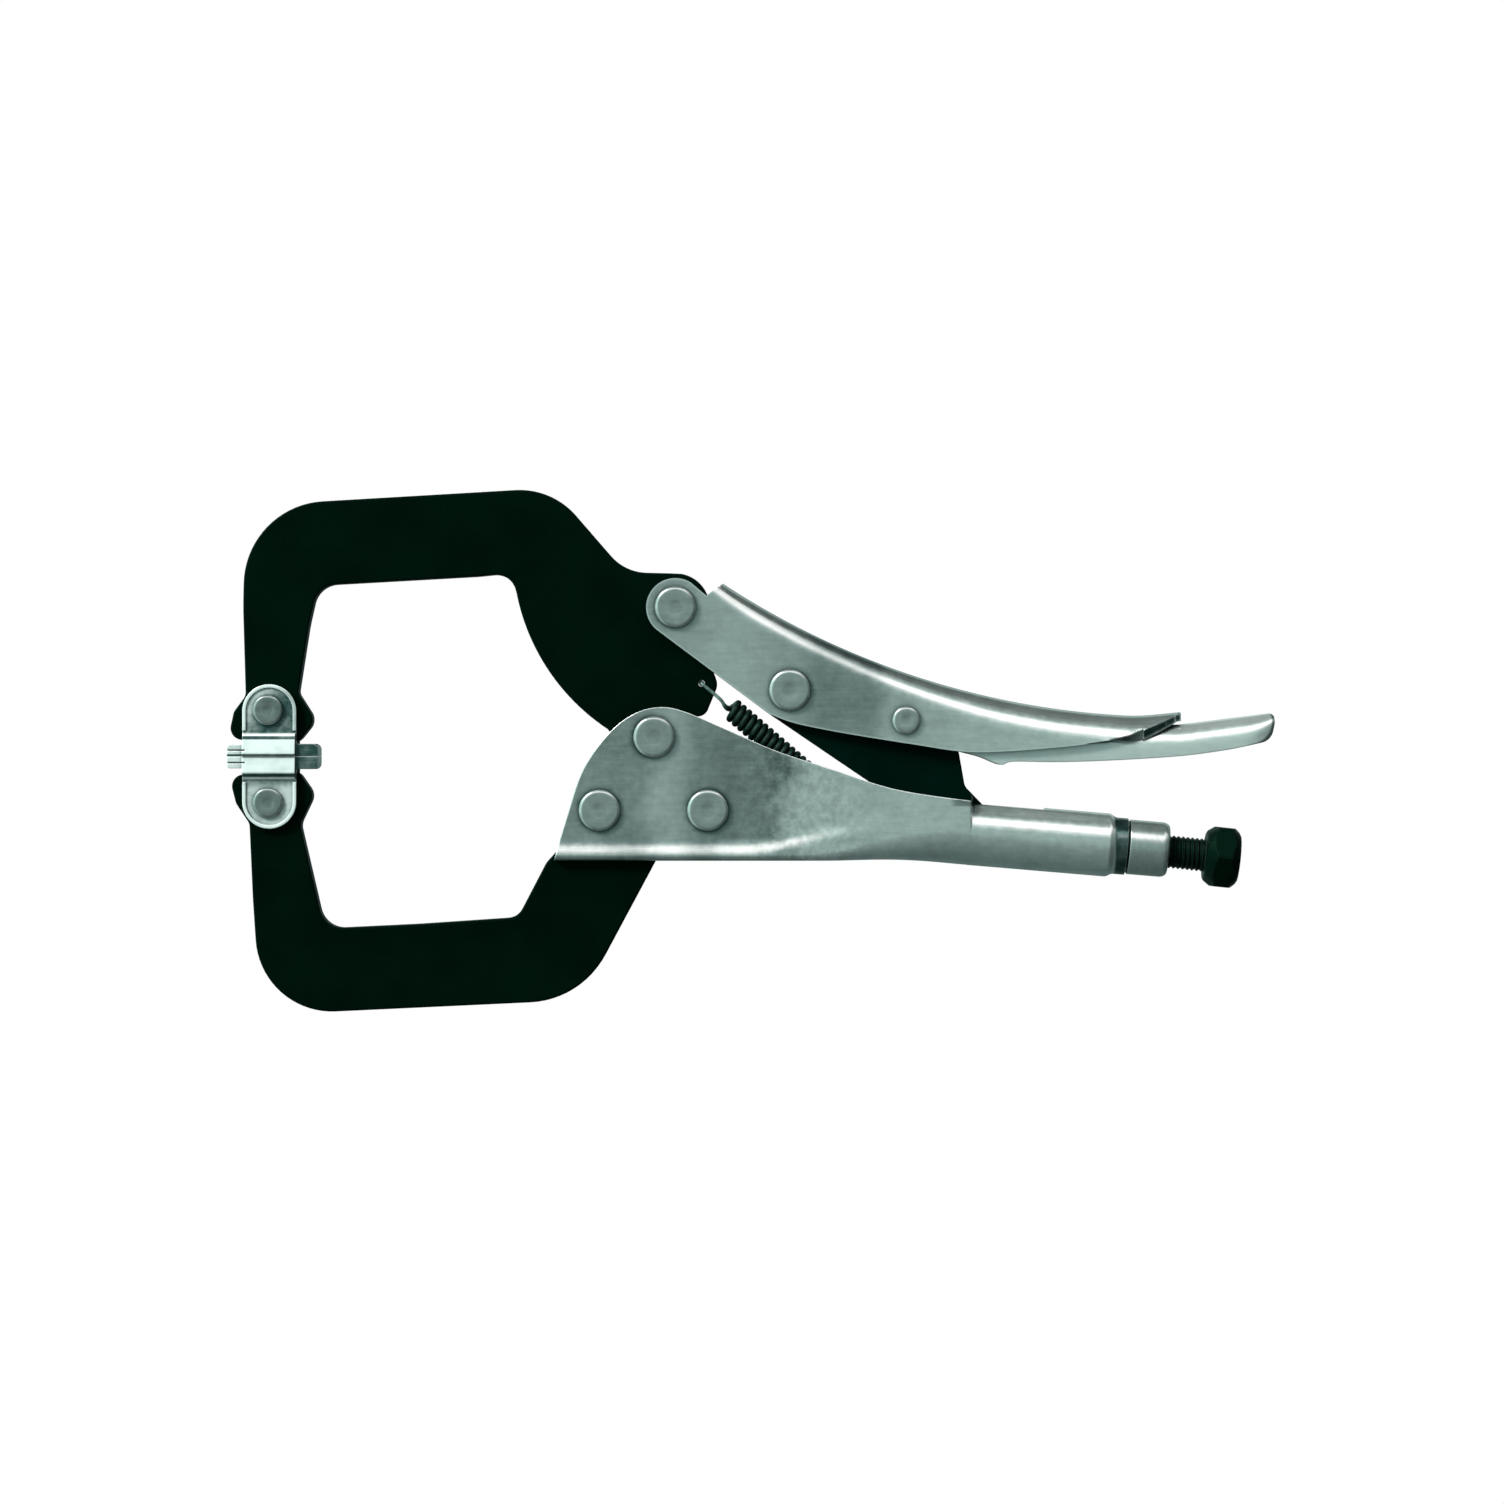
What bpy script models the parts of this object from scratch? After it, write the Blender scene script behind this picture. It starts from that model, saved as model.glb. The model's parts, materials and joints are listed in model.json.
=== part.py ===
"""Locking C clamp, 280 mm long: two flat jaw arms with swivel pads, a pressed-steel fixed handle that ends in
a tube, an over-centre toggle handle with its release lever, a return spring and an adjusting screw.

The side view is the XZ plane: +X points along the handles, +Z up, and every pivot turns about Y.
The origin is the centre of the fixed pad's clamping face. The clamp is closed and locked.
Outlines are lists of (x, z) in millimetres, and MM turns them into metres.
"""

import math

import bmesh
import bpy
from mathutils import Matrix, Vector

MM = 0.001

# Pivots in the side view.
MAIN_PIVOT = (103.3, 5.2)
HANDLE_PIVOT = (109.0, 39.9)
TOGGLE_PIVOT = (139.6, 17.7)
LINK_TAIL = (193.0, -21.1)
RELEASE_PIVOT = (170.7, 9.6)
FRONT_RIVET = (88.7, -14.4)
REAR_RIVET = (117.7, -14.4)
UPPER_PAD_PIVOT = (0.0, 12.4)
LOWER_PAD_PIVOT = (0.0, -12.4)
HOOK_HOLE = (116.0, 19.6)
SPRING_ANCHOR = (155.4, -14.2)

# The tube, its nut and its screw share this axis.
AXIS_START = (190.5, -20.9)
AXIS_DROP = math.radians(4.8)

# Thicknesses across the clamp: a half is measured from the middle plane.
ARM_HALF = 3.6
LINK_HALF = 2.4
SHEET = 1.8
CHANNEL_HALF = 6.5
TUBE_RADIUS = 8.5
GAP = 0.3

# Rivets.
SHANK_RADIUS = 2.7
HEAD_RADIUS = 5.5
HEAD_HEIGHT = 1.7
PAD_SHANK_RADIUS = 2.0
PAD_HEAD_RADIUS = 4.0
PAD_HEAD_HEIGHT = 1.3
RELEASE_SHANK_RADIUS = 1.8
RELEASE_HEAD_RADIUS = 3.7
RELEASE_HEAD_HEIGHT = 1.4
MAIN_SIZES = (SHANK_RADIUS, HEAD_RADIUS, HEAD_HEIGHT)
PAD_SIZES = (PAD_SHANK_RADIUS, PAD_HEAD_RADIUS, PAD_HEAD_HEIGHT)
RELEASE_SIZES = (RELEASE_SHANK_RADIUS, RELEASE_HEAD_RADIUS, RELEASE_HEAD_HEIGHT)
PAD_EAR_HALF = 5.7

# Adjusting screw and its nut, as distances along the tube axis from AXIS_START.
SCREW_RADIUS = 4.5
SCREW_TIP = 12.6
HEAD_START = 60.8
HEAD_END = 70.0
HEAD_ACROSS_FLATS = 16.0
CRIMP_START = 35.6
CRIMP_END = 39.6
NUT_START = 26.0
NUT_END = 50.2
NUT_RADIUS = 7.35

# Return spring.
WIRE_RADIUS = 0.45
COIL_RADIUS = 2.45
COIL_TURNS = 20
COIL_STEPS = 9
COIL_START = 11.0
COIL_START_TURN = math.radians(110)
WIRE_SIDES = 4
COIL_END_GAP = 5.0
HOOK_HOLE_RADIUS = 1.5
TAB_HALF = 0.8
TAB_HOLE_RADIUS = 1.4

# Meshing. A cutter reaches CUTTER_HALF to each side of the middle plane, well past every wall.
CUTTER_HALF = 20.0
SAME_POINT = 0.001
SHARP_EDGE = math.radians(35)
ARC_TURN = math.radians(13)
ROUND_STEPS = 20
HOLE_TURN = math.radians(18)
WHITE = (0.62, 0.68, 0.66)
BLACK = (0.012, 0.022, 0.018)


# Outlines ------------------------------------------------------------------------------------------------


def arc(centre, radius, start, end, turn=ARC_TURN):
    """Points from angle start to angle end, in degrees, measured from +X towards +Z."""
    steps = max(2, math.ceil(abs(math.radians(end - start)) / turn))
    angles = [math.radians(start + (end - start) * k / steps) for k in range(steps + 1)]
    return [(centre[0] + radius * math.cos(a), centre[1] + radius * math.sin(a)) for a in angles]


def rounded(corners, turn=ARC_TURN):
    """A closed outline from (x, z, radius) corners, each replaced by an arc tangent to both of its sides."""
    points = []
    for i, (x, z, radius) in enumerate(corners):
        here = Vector((x, z))
        before = (Vector(corners[i - 1][:2]) - here).normalized()
        after = (Vector(corners[(i + 1) % len(corners)][:2]) - here).normalized()
        if radius == 0:
            points.append((x, z))
            continue
        half = before.angle(after) / 2
        centre = here + (before + after).normalized() * radius / math.sin(half)
        spoke = here + before * radius / math.tan(half) - centre
        sweep = math.pi - 2 * half
        if before.x * after.y - before.y * after.x > 0:
            sweep = -sweep
        steps = max(1, math.ceil(abs(sweep) / turn))
        for k in range(steps + 1):
            c = math.cos(sweep * k / steps)
            s = math.sin(sweep * k / steps)
            points.append((centre.x + c * spoke.x - s * spoke.y, centre.y + s * spoke.x + c * spoke.y))
    return points


def smooth(points, steps=3):
    """Points along a Catmull-Rom curve through these, both ends included."""
    padded = [points[0]] + list(points) + [points[-1]]
    found = []
    for a, b, c, d in zip(padded, padded[1:], padded[2:], padded[3:]):
        for k in range(steps):
            t = k / steps
            weights = (
                (2 * t * t - t - t**3) / 2,
                (3 * t**3 - 5 * t * t + 2) / 2,
                (4 * t * t + t - 3 * t**3) / 2,
                (t**3 - t * t) / 2,
            )
            found.append(tuple(sum(w * p[i] for w, p in zip(weights, (a, b, c, d))) for i in range(len(b))))
    return found + [tuple(points[-1])]


def between(x, start, end, low, high):
    """low up to start, high from end on, and a smooth step between them."""
    t = min(1.0, max(0.0, (x - start) / (end - start)))
    return low + (high - low) * t * t * (3 - 2 * t)


# Meshes --------------------------------------------------------------------------------------------------


def material(name, colour, roughness, metallic):
    made = bpy.data.materials.get(name) or bpy.data.materials.new(name)
    made.use_nodes = True
    shader = made.node_tree.nodes["Principled BSDF"]
    shader.inputs["Base Color"].default_value = (*colour, 1)
    shader.inputs["Roughness"].default_value = roughness
    shader.inputs["Metallic"].default_value = metallic
    return made


def plated():
    return material("plated_steel", WHITE, 0.32, 1.0)


def blackened():
    return material("black_oxide", BLACK, 0.5, 0.6)


def finished(name, mesh, pivot, look):
    """An object from a bmesh in millimetres, with its origin on pivot (x, z)."""
    bmesh.ops.recalc_face_normals(mesh, faces=mesh.faces)
    origin = Vector((pivot[0], 0, pivot[1]))
    mesh.transform(Matrix.Scale(MM, 4) @ Matrix.Translation(-origin))
    data = bpy.data.meshes.new(name)
    mesh.to_mesh(data)
    mesh.free()
    data.shade_smooth()
    data.set_sharp_from_angle(angle=SHARP_EDGE)
    made = bpy.data.objects.new(name, data)
    made.location = origin * MM
    bpy.context.scene.collection.objects.link(made)
    if look:
        data.materials.append(look)
    return made


def lofted(rings, capped=True):
    """A closed bmesh through rings of equally many points; without caps, the last ring meets the first."""
    mesh = bmesh.new()
    rows = [[mesh.verts.new(point) for point in ring] for ring in rings]
    pairs = list(zip(rows, rows[1:]))
    if capped:
        mesh.faces.new(rows[0])
        mesh.faces.new(rows[-1])
    else:
        pairs.append((rows[-1], rows[0]))
    for low, high in pairs:
        for k in range(len(low)):
            mesh.faces.new((low[k - 1], low[k], high[k], high[k - 1]))
    bmesh.ops.remove_doubles(mesh, verts=mesh.verts, dist=SAME_POINT)
    bmesh.ops.triangulate(mesh, faces=mesh.faces)
    return mesh


def slab(outline, low, high):
    """A closed outline in the side view, extruded along Y from low to high."""
    return lofted([[(x, y, z) for x, z in outline] for y in (low, high)])


def plate(name, outline, half, pivot, look):
    return finished(name, slab(outline, -half, half), pivot, look)


def turned_rings(profile, start, direction, steps=ROUND_STEPS):
    """Rings about the line from start along direction, one for each (distance, radius) of profile."""
    along = Vector(direction).normalized()
    side = Vector((0, 1, 0)) if abs(along.y) < 0.5 else Vector((1, 0, 0))
    up = along.cross(side)
    rings = []
    for distance, radius in profile:
        ring = []
        for k in range(steps):
            a = 2 * math.pi * k / steps
            reach = radius(a) if callable(radius) else radius
            across = side * math.cos(a) + up * math.sin(a)
            ring.append(Vector(start) + along * distance + across * reach)
        rings.append(ring)
    return rings


def tube_axis(distance):
    """The point of the tube axis at this distance from its start."""
    return (
        AXIS_START[0] + distance * math.cos(AXIS_DROP),
        0,
        AXIS_START[1] - distance * math.sin(AXIS_DROP),
    )


AXIS_DIRECTION = (math.cos(AXIS_DROP), 0, -math.sin(AXIS_DROP))


# Booleans ------------------------------------------------------------------------------------------------


def combined(target, tool, operation):
    """Adds a Boolean of tool to target and hides tool as a helper."""
    tool.hide_render = True
    tool.display_type = "WIRE"
    modifier = target.modifiers.new(tool.name, "BOOLEAN")
    modifier.operation = operation
    modifier.solver = "EXACT"
    modifier.object = tool
    return target


def drill(target, centre, radius, half=CUTTER_HALF):
    """A round hole along Y through target at centre."""
    outline = arc(centre, radius, 0, 360, HOLE_TURN)[:-1]
    tool = plate(f"{target.name}_hole_{len(target.modifiers)}", outline, half, centre, None)
    return combined(target, tool, "DIFFERENCE")


def cut_block(target, x, z, half):
    """A box cut out of target: x and z are (low, high), and it spans half to each side of the middle."""
    outline = [(x[0], z[0]), (x[1], z[0]), (x[1], z[1]), (x[0], z[1])]
    tool = plate(f"{target.name}_slot_{len(target.modifiers)}", outline, half, (x[0], z[0]), None)
    return combined(target, tool, "DIFFERENCE")


def rivet(name, centre, wall, sizes):
    """A rivet through centre whose two low heads lie on walls at this distance from the middle.
    sizes are its shank radius, head radius and head height."""
    shank, head, height = sizes
    inner = wall + GAP / 2
    outer = inner + height
    edge = 0.35 * height
    half = [(inner, shank), (inner, head), (outer - edge, head), (outer, head - 1.6 * edge)]
    profile = [(-distance, radius) for distance, radius in reversed(half)] + half
    rings = turned_rings(profile, (centre[0], 0, centre[1]), (0, 1, 0))
    return finished(name, lofted(rings), centre, plated())


def box_ring(x, z, tilt, half, bottom, top, low_radius, high_radius, corner_steps=4):
    """A rounded rectangle across the clamp at (x, z), leaning by tilt, from bottom to top of that point."""
    corners = (
        (half - high_radius, top - high_radius, high_radius, 0),
        (half - high_radius, top - high_radius, high_radius, 90),
        (half - low_radius, bottom + low_radius, low_radius, 180),
        (half - low_radius, bottom + low_radius, low_radius, 270),
    )
    ring = []
    for quarter, (reach, height, radius, start) in enumerate(corners):
        side = 1 if quarter in (0, 3) else -1
        for k in range(corner_steps + 1):
            a = math.radians(start + 90 * k / corner_steps)
            y = side * reach + radius * math.cos(a)
            up = height + radius * math.sin(a)
            ring.append((x - up * math.sin(tilt), y, z + up * math.cos(tilt)))
    return ring


# Jaws ----------------------------------------------------------------------------------------------------

THROAT_CENTRE = (122.3, 54.8)
THROAT_RADIUS = 57.0


def moving_jaw_outline():
    """From the lower left of the tip, clockwise: back, top, rear lobe, hub, throat and inner window."""
    back = rounded(
        [(-4.0, 3.9, 0), (-10.9, 5.0, 3.2), (-9.4, 12.0, 3.0), (-6.2, 16.3, 3.0), (-6.9, 40.0, 60.0)]
        + [(-6.3, 67.2, 22.5), (75.9, 72.0, 20.0), (95.5, 49.4, 13.0), (107.5, 49.1, 0)]
    )
    ear = arc(HANDLE_PIVOT, 9.2, 80, 0)
    lobe = rounded(
        [(118.4, 30.0, 0), (118.3, 25.2, 3.0), (120.4, 19.3, 4.0), (117.0, 11.0, 3.0), (112.4, 10.4, 0)]
    )
    hub = arc(MAIN_PIVOT, 8.6, 20, -150)
    throat = arc(THROAT_CENTRE, THROAT_RADIUS, 236.5, 191.5, math.radians(5))
    window = rounded(
        [(66.6, 43.0, 0), (64.9, 49.2, 5.5), (56.0, 48.3, 30.0), (13.2, 45.9, 6.5), (10.8, 35.5, 30.0)]
        + [(7.9, 17.0, 2.5), (12.6, 9.6, 3.8), (8.0, 3.9, 3.0), (3.0, 3.9, 0)]
    )
    return back + ear + lobe + hub + throat + window


def moving_jaw_arm():
    jaw = plate("moving_jaw_arm", moving_jaw_outline(), ARM_HALF, MAIN_PIVOT, blackened())
    drill(jaw, MAIN_PIVOT, SHANK_RADIUS + GAP)
    drill(jaw, HANDLE_PIVOT, SHANK_RADIUS + GAP)
    drill(jaw, UPPER_PAD_PIVOT, PAD_SHANK_RADIUS + GAP)
    drill(jaw, HOOK_HOLE, HOOK_HOLE_RADIUS)


def fixed_jaw_outline():
    """From the upper left of the tip, anticlockwise: back, foot, slope, hidden root and inner window."""
    return rounded(
        [(-4.0, -4.1, 0), (-10.6, -5.6, 3.2), (-8.8, -12.6, 3.0), (-5.2, -18.0, 3.0), (-4.3, -38.0, 60.0)]
        + [(-2.2, -69.3, 20.5), (83.7, -65.3, 24.0), (103.9, -27.6, 6.0), (108.5, -20.9, 3.0)]
        + [(125.5, -20.9, 6.0), (125.5, -7.6, 6.0), (84.9, -7.6, 4.0), (80.6, -21.5, 5.0)]
        + [(74.4, -28.4, 5.0), (66.7, -43.2, 5.0), (40.0, -45.0, 60.0), (14.9, -46.2, 6.5), (8.4, -18.2, 4.0)]
        + [(12.2, -10.2, 3.8), (8.0, -4.1, 3.0)]
    )


def fixed_jaw_arm():
    jaw = plate("fixed_jaw_arm", fixed_jaw_outline(), ARM_HALF, LOWER_PAD_PIVOT, blackened())
    drill(jaw, FRONT_RIVET, SHANK_RADIUS + GAP)
    drill(jaw, REAR_RIVET, SHANK_RADIUS + GAP)
    drill(jaw, LOWER_PAD_PIVOT, PAD_SHANK_RADIUS + GAP)


# Swivel pads ---------------------------------------------------------------------------------------------


# The pad's pressed section is made this long in X before its outline is cut from it.
PAD_BLANK = (-14.0, 16.0)


def swivel_pad(name, pivot, side, face):
    """A pressed pad: a face plate with two ears folded away from it. side is +1 for the upper pad, -1 for the
    lower one, and face is how far its clamping face lies from the origin."""
    inner = ARM_HALF + 2 * GAP
    section = [(inner, 3.0), (inner, 21.0), (PAD_EAR_HALF, 21.0), (PAD_EAR_HALF, 5.6), (7.2, 4.3), (7.2, 0.9)]
    section = section + [(6.4, face)]
    loop = section + [(-y, z) for y, z in reversed(section)]
    rings = [[(x, y, side * z) for y, z in loop] for x in PAD_BLANK]
    pad = finished(name, lofted(rings), pivot, plated())
    ear_top = arc((0.4, 12.1), 7.2, 0, 180)
    foot = rounded(
        [(-6.8, 3.2, 0), (-11.0, 3.2, 0.6), (-11.0, -1.0, 0)]
        + [(13.4, -1.0, 0), (13.4, 3.4, 0.8), (7.6, 3.4, 0)]
    )
    outline = [(x, side * z) for x, z in ear_top + foot]
    shape = plate(f"{name}_outline", outline, CUTTER_HALF, pivot, None)
    combined(pad, shape, "INTERSECT")
    drill(pad, pivot, PAD_SHANK_RADIUS + GAP)


# Fixed handle body ---------------------------------------------------------------------------------------


BODY_STATIONS = (120.0, 142.0, 149.0, 156.0, 163.0, 170.0, 177.0, 183.0, 187.2)
BODY_FRONT = 74.0
CHANNEL_CORNER = 4.4
CHANNEL_FLOOR = -27.9
CRIMP_DEPTH = 0.9


def body_section(x):
    """The pressed body at x: tube axis height, half width, bottom below that axis, lower corner radius."""
    axis = AXIS_START[1] - (x - AXIS_START[0]) * math.tan(AXIS_DROP)
    half = between(x, 142.0, 187.0, CHANNEL_HALF, TUBE_RADIUS)
    low_radius = between(x, 142.0, 187.0, CHANNEL_CORNER, TUBE_RADIUS)
    bottom = between(x, 150.0, 187.0, CHANNEL_FLOOR - axis, -TUBE_RADIUS)
    return axis, half, bottom, low_radius


def body_rings(inset):
    """Rings of the body's outer surface, or of its hollow when inset is the sheet's thickness."""
    rings = []
    extra = 6.0 if inset else 0.0
    for x in (BODY_FRONT - extra, *BODY_STATIONS):
        axis, half, bottom, low_radius = body_section(x)
        top = 30.0 + extra - axis
        rings.append(box_ring(x, axis, 0, half - inset, bottom + inset, top, low_radius - inset, 1.0))
    crimped = TUBE_RADIUS - CRIMP_DEPTH
    radii = [(-2.6, TUBE_RADIUS), (CRIMP_START - 0.4, TUBE_RADIUS), (CRIMP_START + 1.0, crimped)]
    radii = radii + [(CRIMP_END + extra, crimped)]
    for distance, radius in radii:
        x, _, z = tube_axis(distance)
        reach = radius - inset
        rings.append(box_ring(x, z, -AXIS_DROP, reach, -reach, reach, reach, reach))
    return rings


def body_outline():
    """The side walls' front and top edges; the box round the tube and below the floor cuts nothing."""
    edge = smooth(
        [(76.6, -27.7), (79.9, -16.5), (84.4, -3.4), (91.6, 6.6), (98.6, 11.7), (105.3, 13.2), (112.0, 11.8)]
        + [(123.0, 7.1), (136.0, 1.5), (150.0, -3.1), (168.0, -8.8), (188.4, -11.9)]
    )
    return edge + [(188.6, -6.0), (240.0, -6.0), (240.0, -45.0), (76.6, -45.0)]


def fixed_handle_body():
    body = finished("fixed_handle_body", lofted(body_rings(0)), MAIN_PIVOT, plated())
    combined(body, plate("body_outline", body_outline(), CUTTER_HALF, MAIN_PIVOT, None), "INTERSECT")
    hollow = finished("body_hollow", lofted(body_rings(SHEET)), MAIN_PIVOT, None)
    combined(body, hollow, "DIFFERENCE")
    cut_block(body, (70.0, 105.6), (-40.0, -20.0), ARM_HALF + GAP)
    cut_block(body, (183.0, 208.0), (-16.0, 0.0), LINK_HALF + GAP)
    for centre in (MAIN_PIVOT, FRONT_RIVET, REAR_RIVET):
        drill(body, centre, SHANK_RADIUS + GAP)
    x, z = SPRING_ANCHOR
    tab = rounded(
        [(x - 4.0, -27.0, 0), (x - 2.6, z + 2.6, 2.2), (x + 2.6, z + 2.6, 2.2), (x + 4.0, -27.0, 0)]
    )
    combined(body, plate("spring_tab", tab, TAB_HALF, SPRING_ANCHOR, None), "UNION")
    drill(body, SPRING_ANCHOR, TAB_HOLE_RADIUS, 2 * TAB_HALF)


def threaded_end_nut():
    """A stepped bush: a plug held by the crimp in the tube's end, and a collar outside it."""
    plug = TUBE_RADIUS - SHEET - GAP
    groove = plug - CRIMP_DEPTH
    bore = SCREW_RADIUS + GAP
    plugged = [(NUT_START, plug), (CRIMP_START - 0.8, plug), (CRIMP_START - 0.1, groove)]
    shoulder = [(CRIMP_END + GAP, groove), (CRIMP_END + GAP, NUT_RADIUS)]
    end = [(NUT_END - 1.6, NUT_RADIUS), (NUT_END - 0.6, NUT_RADIUS - 0.5), (NUT_END, NUT_RADIUS - 1.5)]
    profile = plugged + shoulder + end + [(NUT_END, bore), (NUT_START, bore)]
    start = (AXIS_START[0], 0, AXIS_START[1])
    mesh = lofted(turned_rings(profile, start, AXIS_DIRECTION), capped=False)
    finished("threaded_end_nut", mesh, AXIS_START, plated())


HEXAGON_STEPS = 24


def hexagon(across_flats, most):
    """Reach of a hexagon's side at an angle, held within a circle of radius most."""

    def reach(angle):
        from_corner = (angle % (math.pi / 3)) - math.pi / 6
        return min(most, across_flats / 2 / math.cos(from_corner))

    return reach


def adjusting_screw():
    full = hexagon(HEAD_ACROSS_FLATS, HEAD_ACROSS_FLATS)
    face = hexagon(HEAD_ACROSS_FLATS, HEAD_ACROSS_FLATS / 2)
    profile = [(SCREW_TIP, SCREW_RADIUS - 1.0), (SCREW_TIP + 1.0, SCREW_RADIUS), (HEAD_START, SCREW_RADIUS)]
    profile = profile + [(HEAD_START, face), (HEAD_START + 1.0, full)]
    profile = profile + [(HEAD_END - 1.0, full), (HEAD_END, face)]
    start = (AXIS_START[0], 0, AXIS_START[1])
    rings = turned_rings(profile, start, AXIS_DIRECTION, HEXAGON_STEPS)
    finished("adjusting_screw", lofted(rings), AXIS_START, blackened())


# Toggle handle -------------------------------------------------------------------------------------------

HANDLE_CURVE_CENTRE = (241.3, 228.7)
HANDLE_CURVE_RADIUS = 218.0
HANDLE_STATIONS = (112.0, 122.0, 132.0, 142.0, 153.0, 164.0, 175.0, 186.0, 197.0, 208.0, 221.0, 234.0)
HANDLE_ENDS = (98.0, 248.0)


def handle_top(x):
    """Height of the toggle handle's upper surface."""
    return HANDLE_CURVE_CENTRE[1] - math.sqrt(HANDLE_CURVE_RADIUS**2 - (x - HANDLE_CURVE_CENTRE[0]) ** 2)


def handle_half(x):
    """Half width of the toggle handle."""
    return between(x, 150.0, 205.0, CHANNEL_HALF, TUBE_RADIUS)


def handle_rings(inset):
    rings = []
    extra = 8.0 if inset else 0.0
    for x in (HANDLE_ENDS[0] - extra, *HANDLE_STATIONS, HANDLE_ENDS[1] + extra):
        half = handle_half(x) - inset
        slope = math.atan(abs(x - HANDLE_CURVE_CENTRE[0]) / HANDLE_CURVE_RADIUS)
        top = handle_top(x) - inset / math.cos(slope)
        radius = between(x, 125.0, 200.0, 3.6, TUBE_RADIUS) - inset
        rings.append(box_ring(x, 0, 0, half, -30.0 - extra, top, 1.0, min(radius, half)))
    return rings


def handle_outline():
    """From under the front ear, clockwise: ear, notch, over the top, oblique rear end and lower edge."""
    ear = arc(HANDLE_PIVOT, 7.8, 234, 58)
    top = [(117.3, 43.0), (122.0, 46.6), (122.0, 60.0), (247.0, 60.0), (247.0, 12.6)]
    lower = smooth(
        [(244.6, 11.6), (239.3, 7.7), (227.5, 4.7), (213.0, 2.6), (198.0, 1.4), (186.0, 1.3), (172.3, 3.3)]
        + [(157.8, 5.6), (146.8, 7.6), (139.6, 9.3), (134.0, 11.5)]
    )
    return ear + top + lower


def upper_handle_lever():
    lever = finished("upper_handle_lever", lofted(handle_rings(0)), HANDLE_PIVOT, plated())
    combined(lever, plate("handle_outline", handle_outline(), CUTTER_HALF, HANDLE_PIVOT, None), "INTERSECT")
    hollow = finished("handle_hollow", lofted(handle_rings(SHEET)), HANDLE_PIVOT, None)
    combined(lever, hollow, "DIFFERENCE")
    cut_block(lever, (90.0, 121.0), (10.0, 70.0), CHANNEL_HALF - SHEET)
    drill(lever, HANDLE_PIVOT, SHANK_RADIUS + GAP)
    drill(lever, TOGGLE_PIVOT, SHANK_RADIUS + GAP)
    drill(lever, RELEASE_PIVOT, RELEASE_SHANK_RADIUS + GAP)


def toggle_link():
    """From above the toggle pivot, clockwise: upper edge, hump, rounded tail and lower edge."""
    head = arc(TOGGLE_PIVOT, 7.4, 234, 54)
    tail = arc(LINK_TAIL, 3.1, 15, -144)
    back = rounded(
        [(150.0, 17.8, 0), (169.5, 3.3, 6.0), (182.6, 3.0, 3.0), (186.3, -7.6, 3.0)]
        + [(193.6, -15.0, 8.0), (196.0, -20.0, 0)]
    )
    link = plate("toggle_link", head + back[2:-2] + tail, LINK_HALF, TOGGLE_PIVOT, blackened())
    drill(link, TOGGLE_PIVOT, SHANK_RADIUS + GAP)


SPACER_RADIUS = 5.0


def toggle_spacer(name, side):
    """A washer between the toggle link and one wall of the handle."""
    inner = SHANK_RADIUS + GAP
    low = LINK_HALF + 0.2
    high = CHANNEL_HALF - SHEET - 0.2
    profile = [(low, inner), (low, SPACER_RADIUS), (high, SPACER_RADIUS), (high, inner)]
    profile = [(side * distance, radius) for distance, radius in profile]
    rings = turned_rings(profile, (TOGGLE_PIVOT[0], 0, TOGGLE_PIVOT[1]), (0, 1, 0))
    finished(name, lofted(rings, capped=False), TOGGLE_PIVOT, plated())


# Release lever -------------------------------------------------------------------------------------------

RELEASE_SHEET = 1.1
RELEASE_CLEARANCE = 0.6
RELEASE_STATIONS = (164.0, 175.0, 186.0, 197.0, 208.0, 220.0, 232.0, 244.0, 256.0)
RELEASE_ENDS = (153.0, 272.0)


def release_top(x):
    """Height of the release lever's upper surface: low in front, close under the handle, free at its tail."""
    under = handle_top(x) - between(x, 185.0, 222.0, 6.4, 2.6)
    free = between(x, 240.0, 270.0, 8.4, 12.2)
    return between(x, 236.0, 246.0, under, free)


def release_rings(inset):
    rings = []
    extra = 6.0 if inset else 0.0
    for x in (RELEASE_ENDS[0] - extra, *RELEASE_STATIONS, RELEASE_ENDS[1] + extra):
        half = handle_half(x) - SHEET - RELEASE_CLEARANCE - inset
        top = release_top(x) - inset
        radius = between(x, 160.0, 200.0, 2.2, 5.6) - inset
        rings.append(box_ring(x, 0, 0, half, -30.0 - extra, top, 1.0, min(radius, half)))
    return rings


def release_outline():
    """Clockwise from the hidden front end, over the top, round the tail and back along the lower edge."""
    lower = smooth(
        [(264.6, 4.3), (255.0, 2.0), (242.0, 0.4), (227.0, -0.8), (212.0, -1.4), (199.5, -1.4), (196.0, -2.2)]
        + [(190.5, -0.1), (184.5, 1.5), (176.0, 4.4)]
    )
    front = rounded(
        [(165.0, 5.4, 0), (157.0, 6.4, 3.0), (157.0, 40.0, 0), (269.6, 40.0, 0), (269.6, 10.6, 0)]
    )
    tail = rounded([(269.6, 10.6, 0), (268.0, 5.2, 3.0), (264.6, 4.3, 0)])
    return front[:-1] + tail[:-1] + lower


def release_lever():
    lever = finished("release_lever", lofted(release_rings(0)), RELEASE_PIVOT, plated())
    outline = plate("release_outline", release_outline(), CUTTER_HALF, RELEASE_PIVOT, None)
    combined(lever, outline, "INTERSECT")
    hollow = finished("release_hollow", lofted(release_rings(RELEASE_SHEET)), RELEASE_PIVOT, None)
    combined(lever, hollow, "DIFFERENCE")
    drill(lever, RELEASE_PIVOT, RELEASE_SHANK_RADIUS + GAP)


# Spring --------------------------------------------------------------------------------------------------


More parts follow.
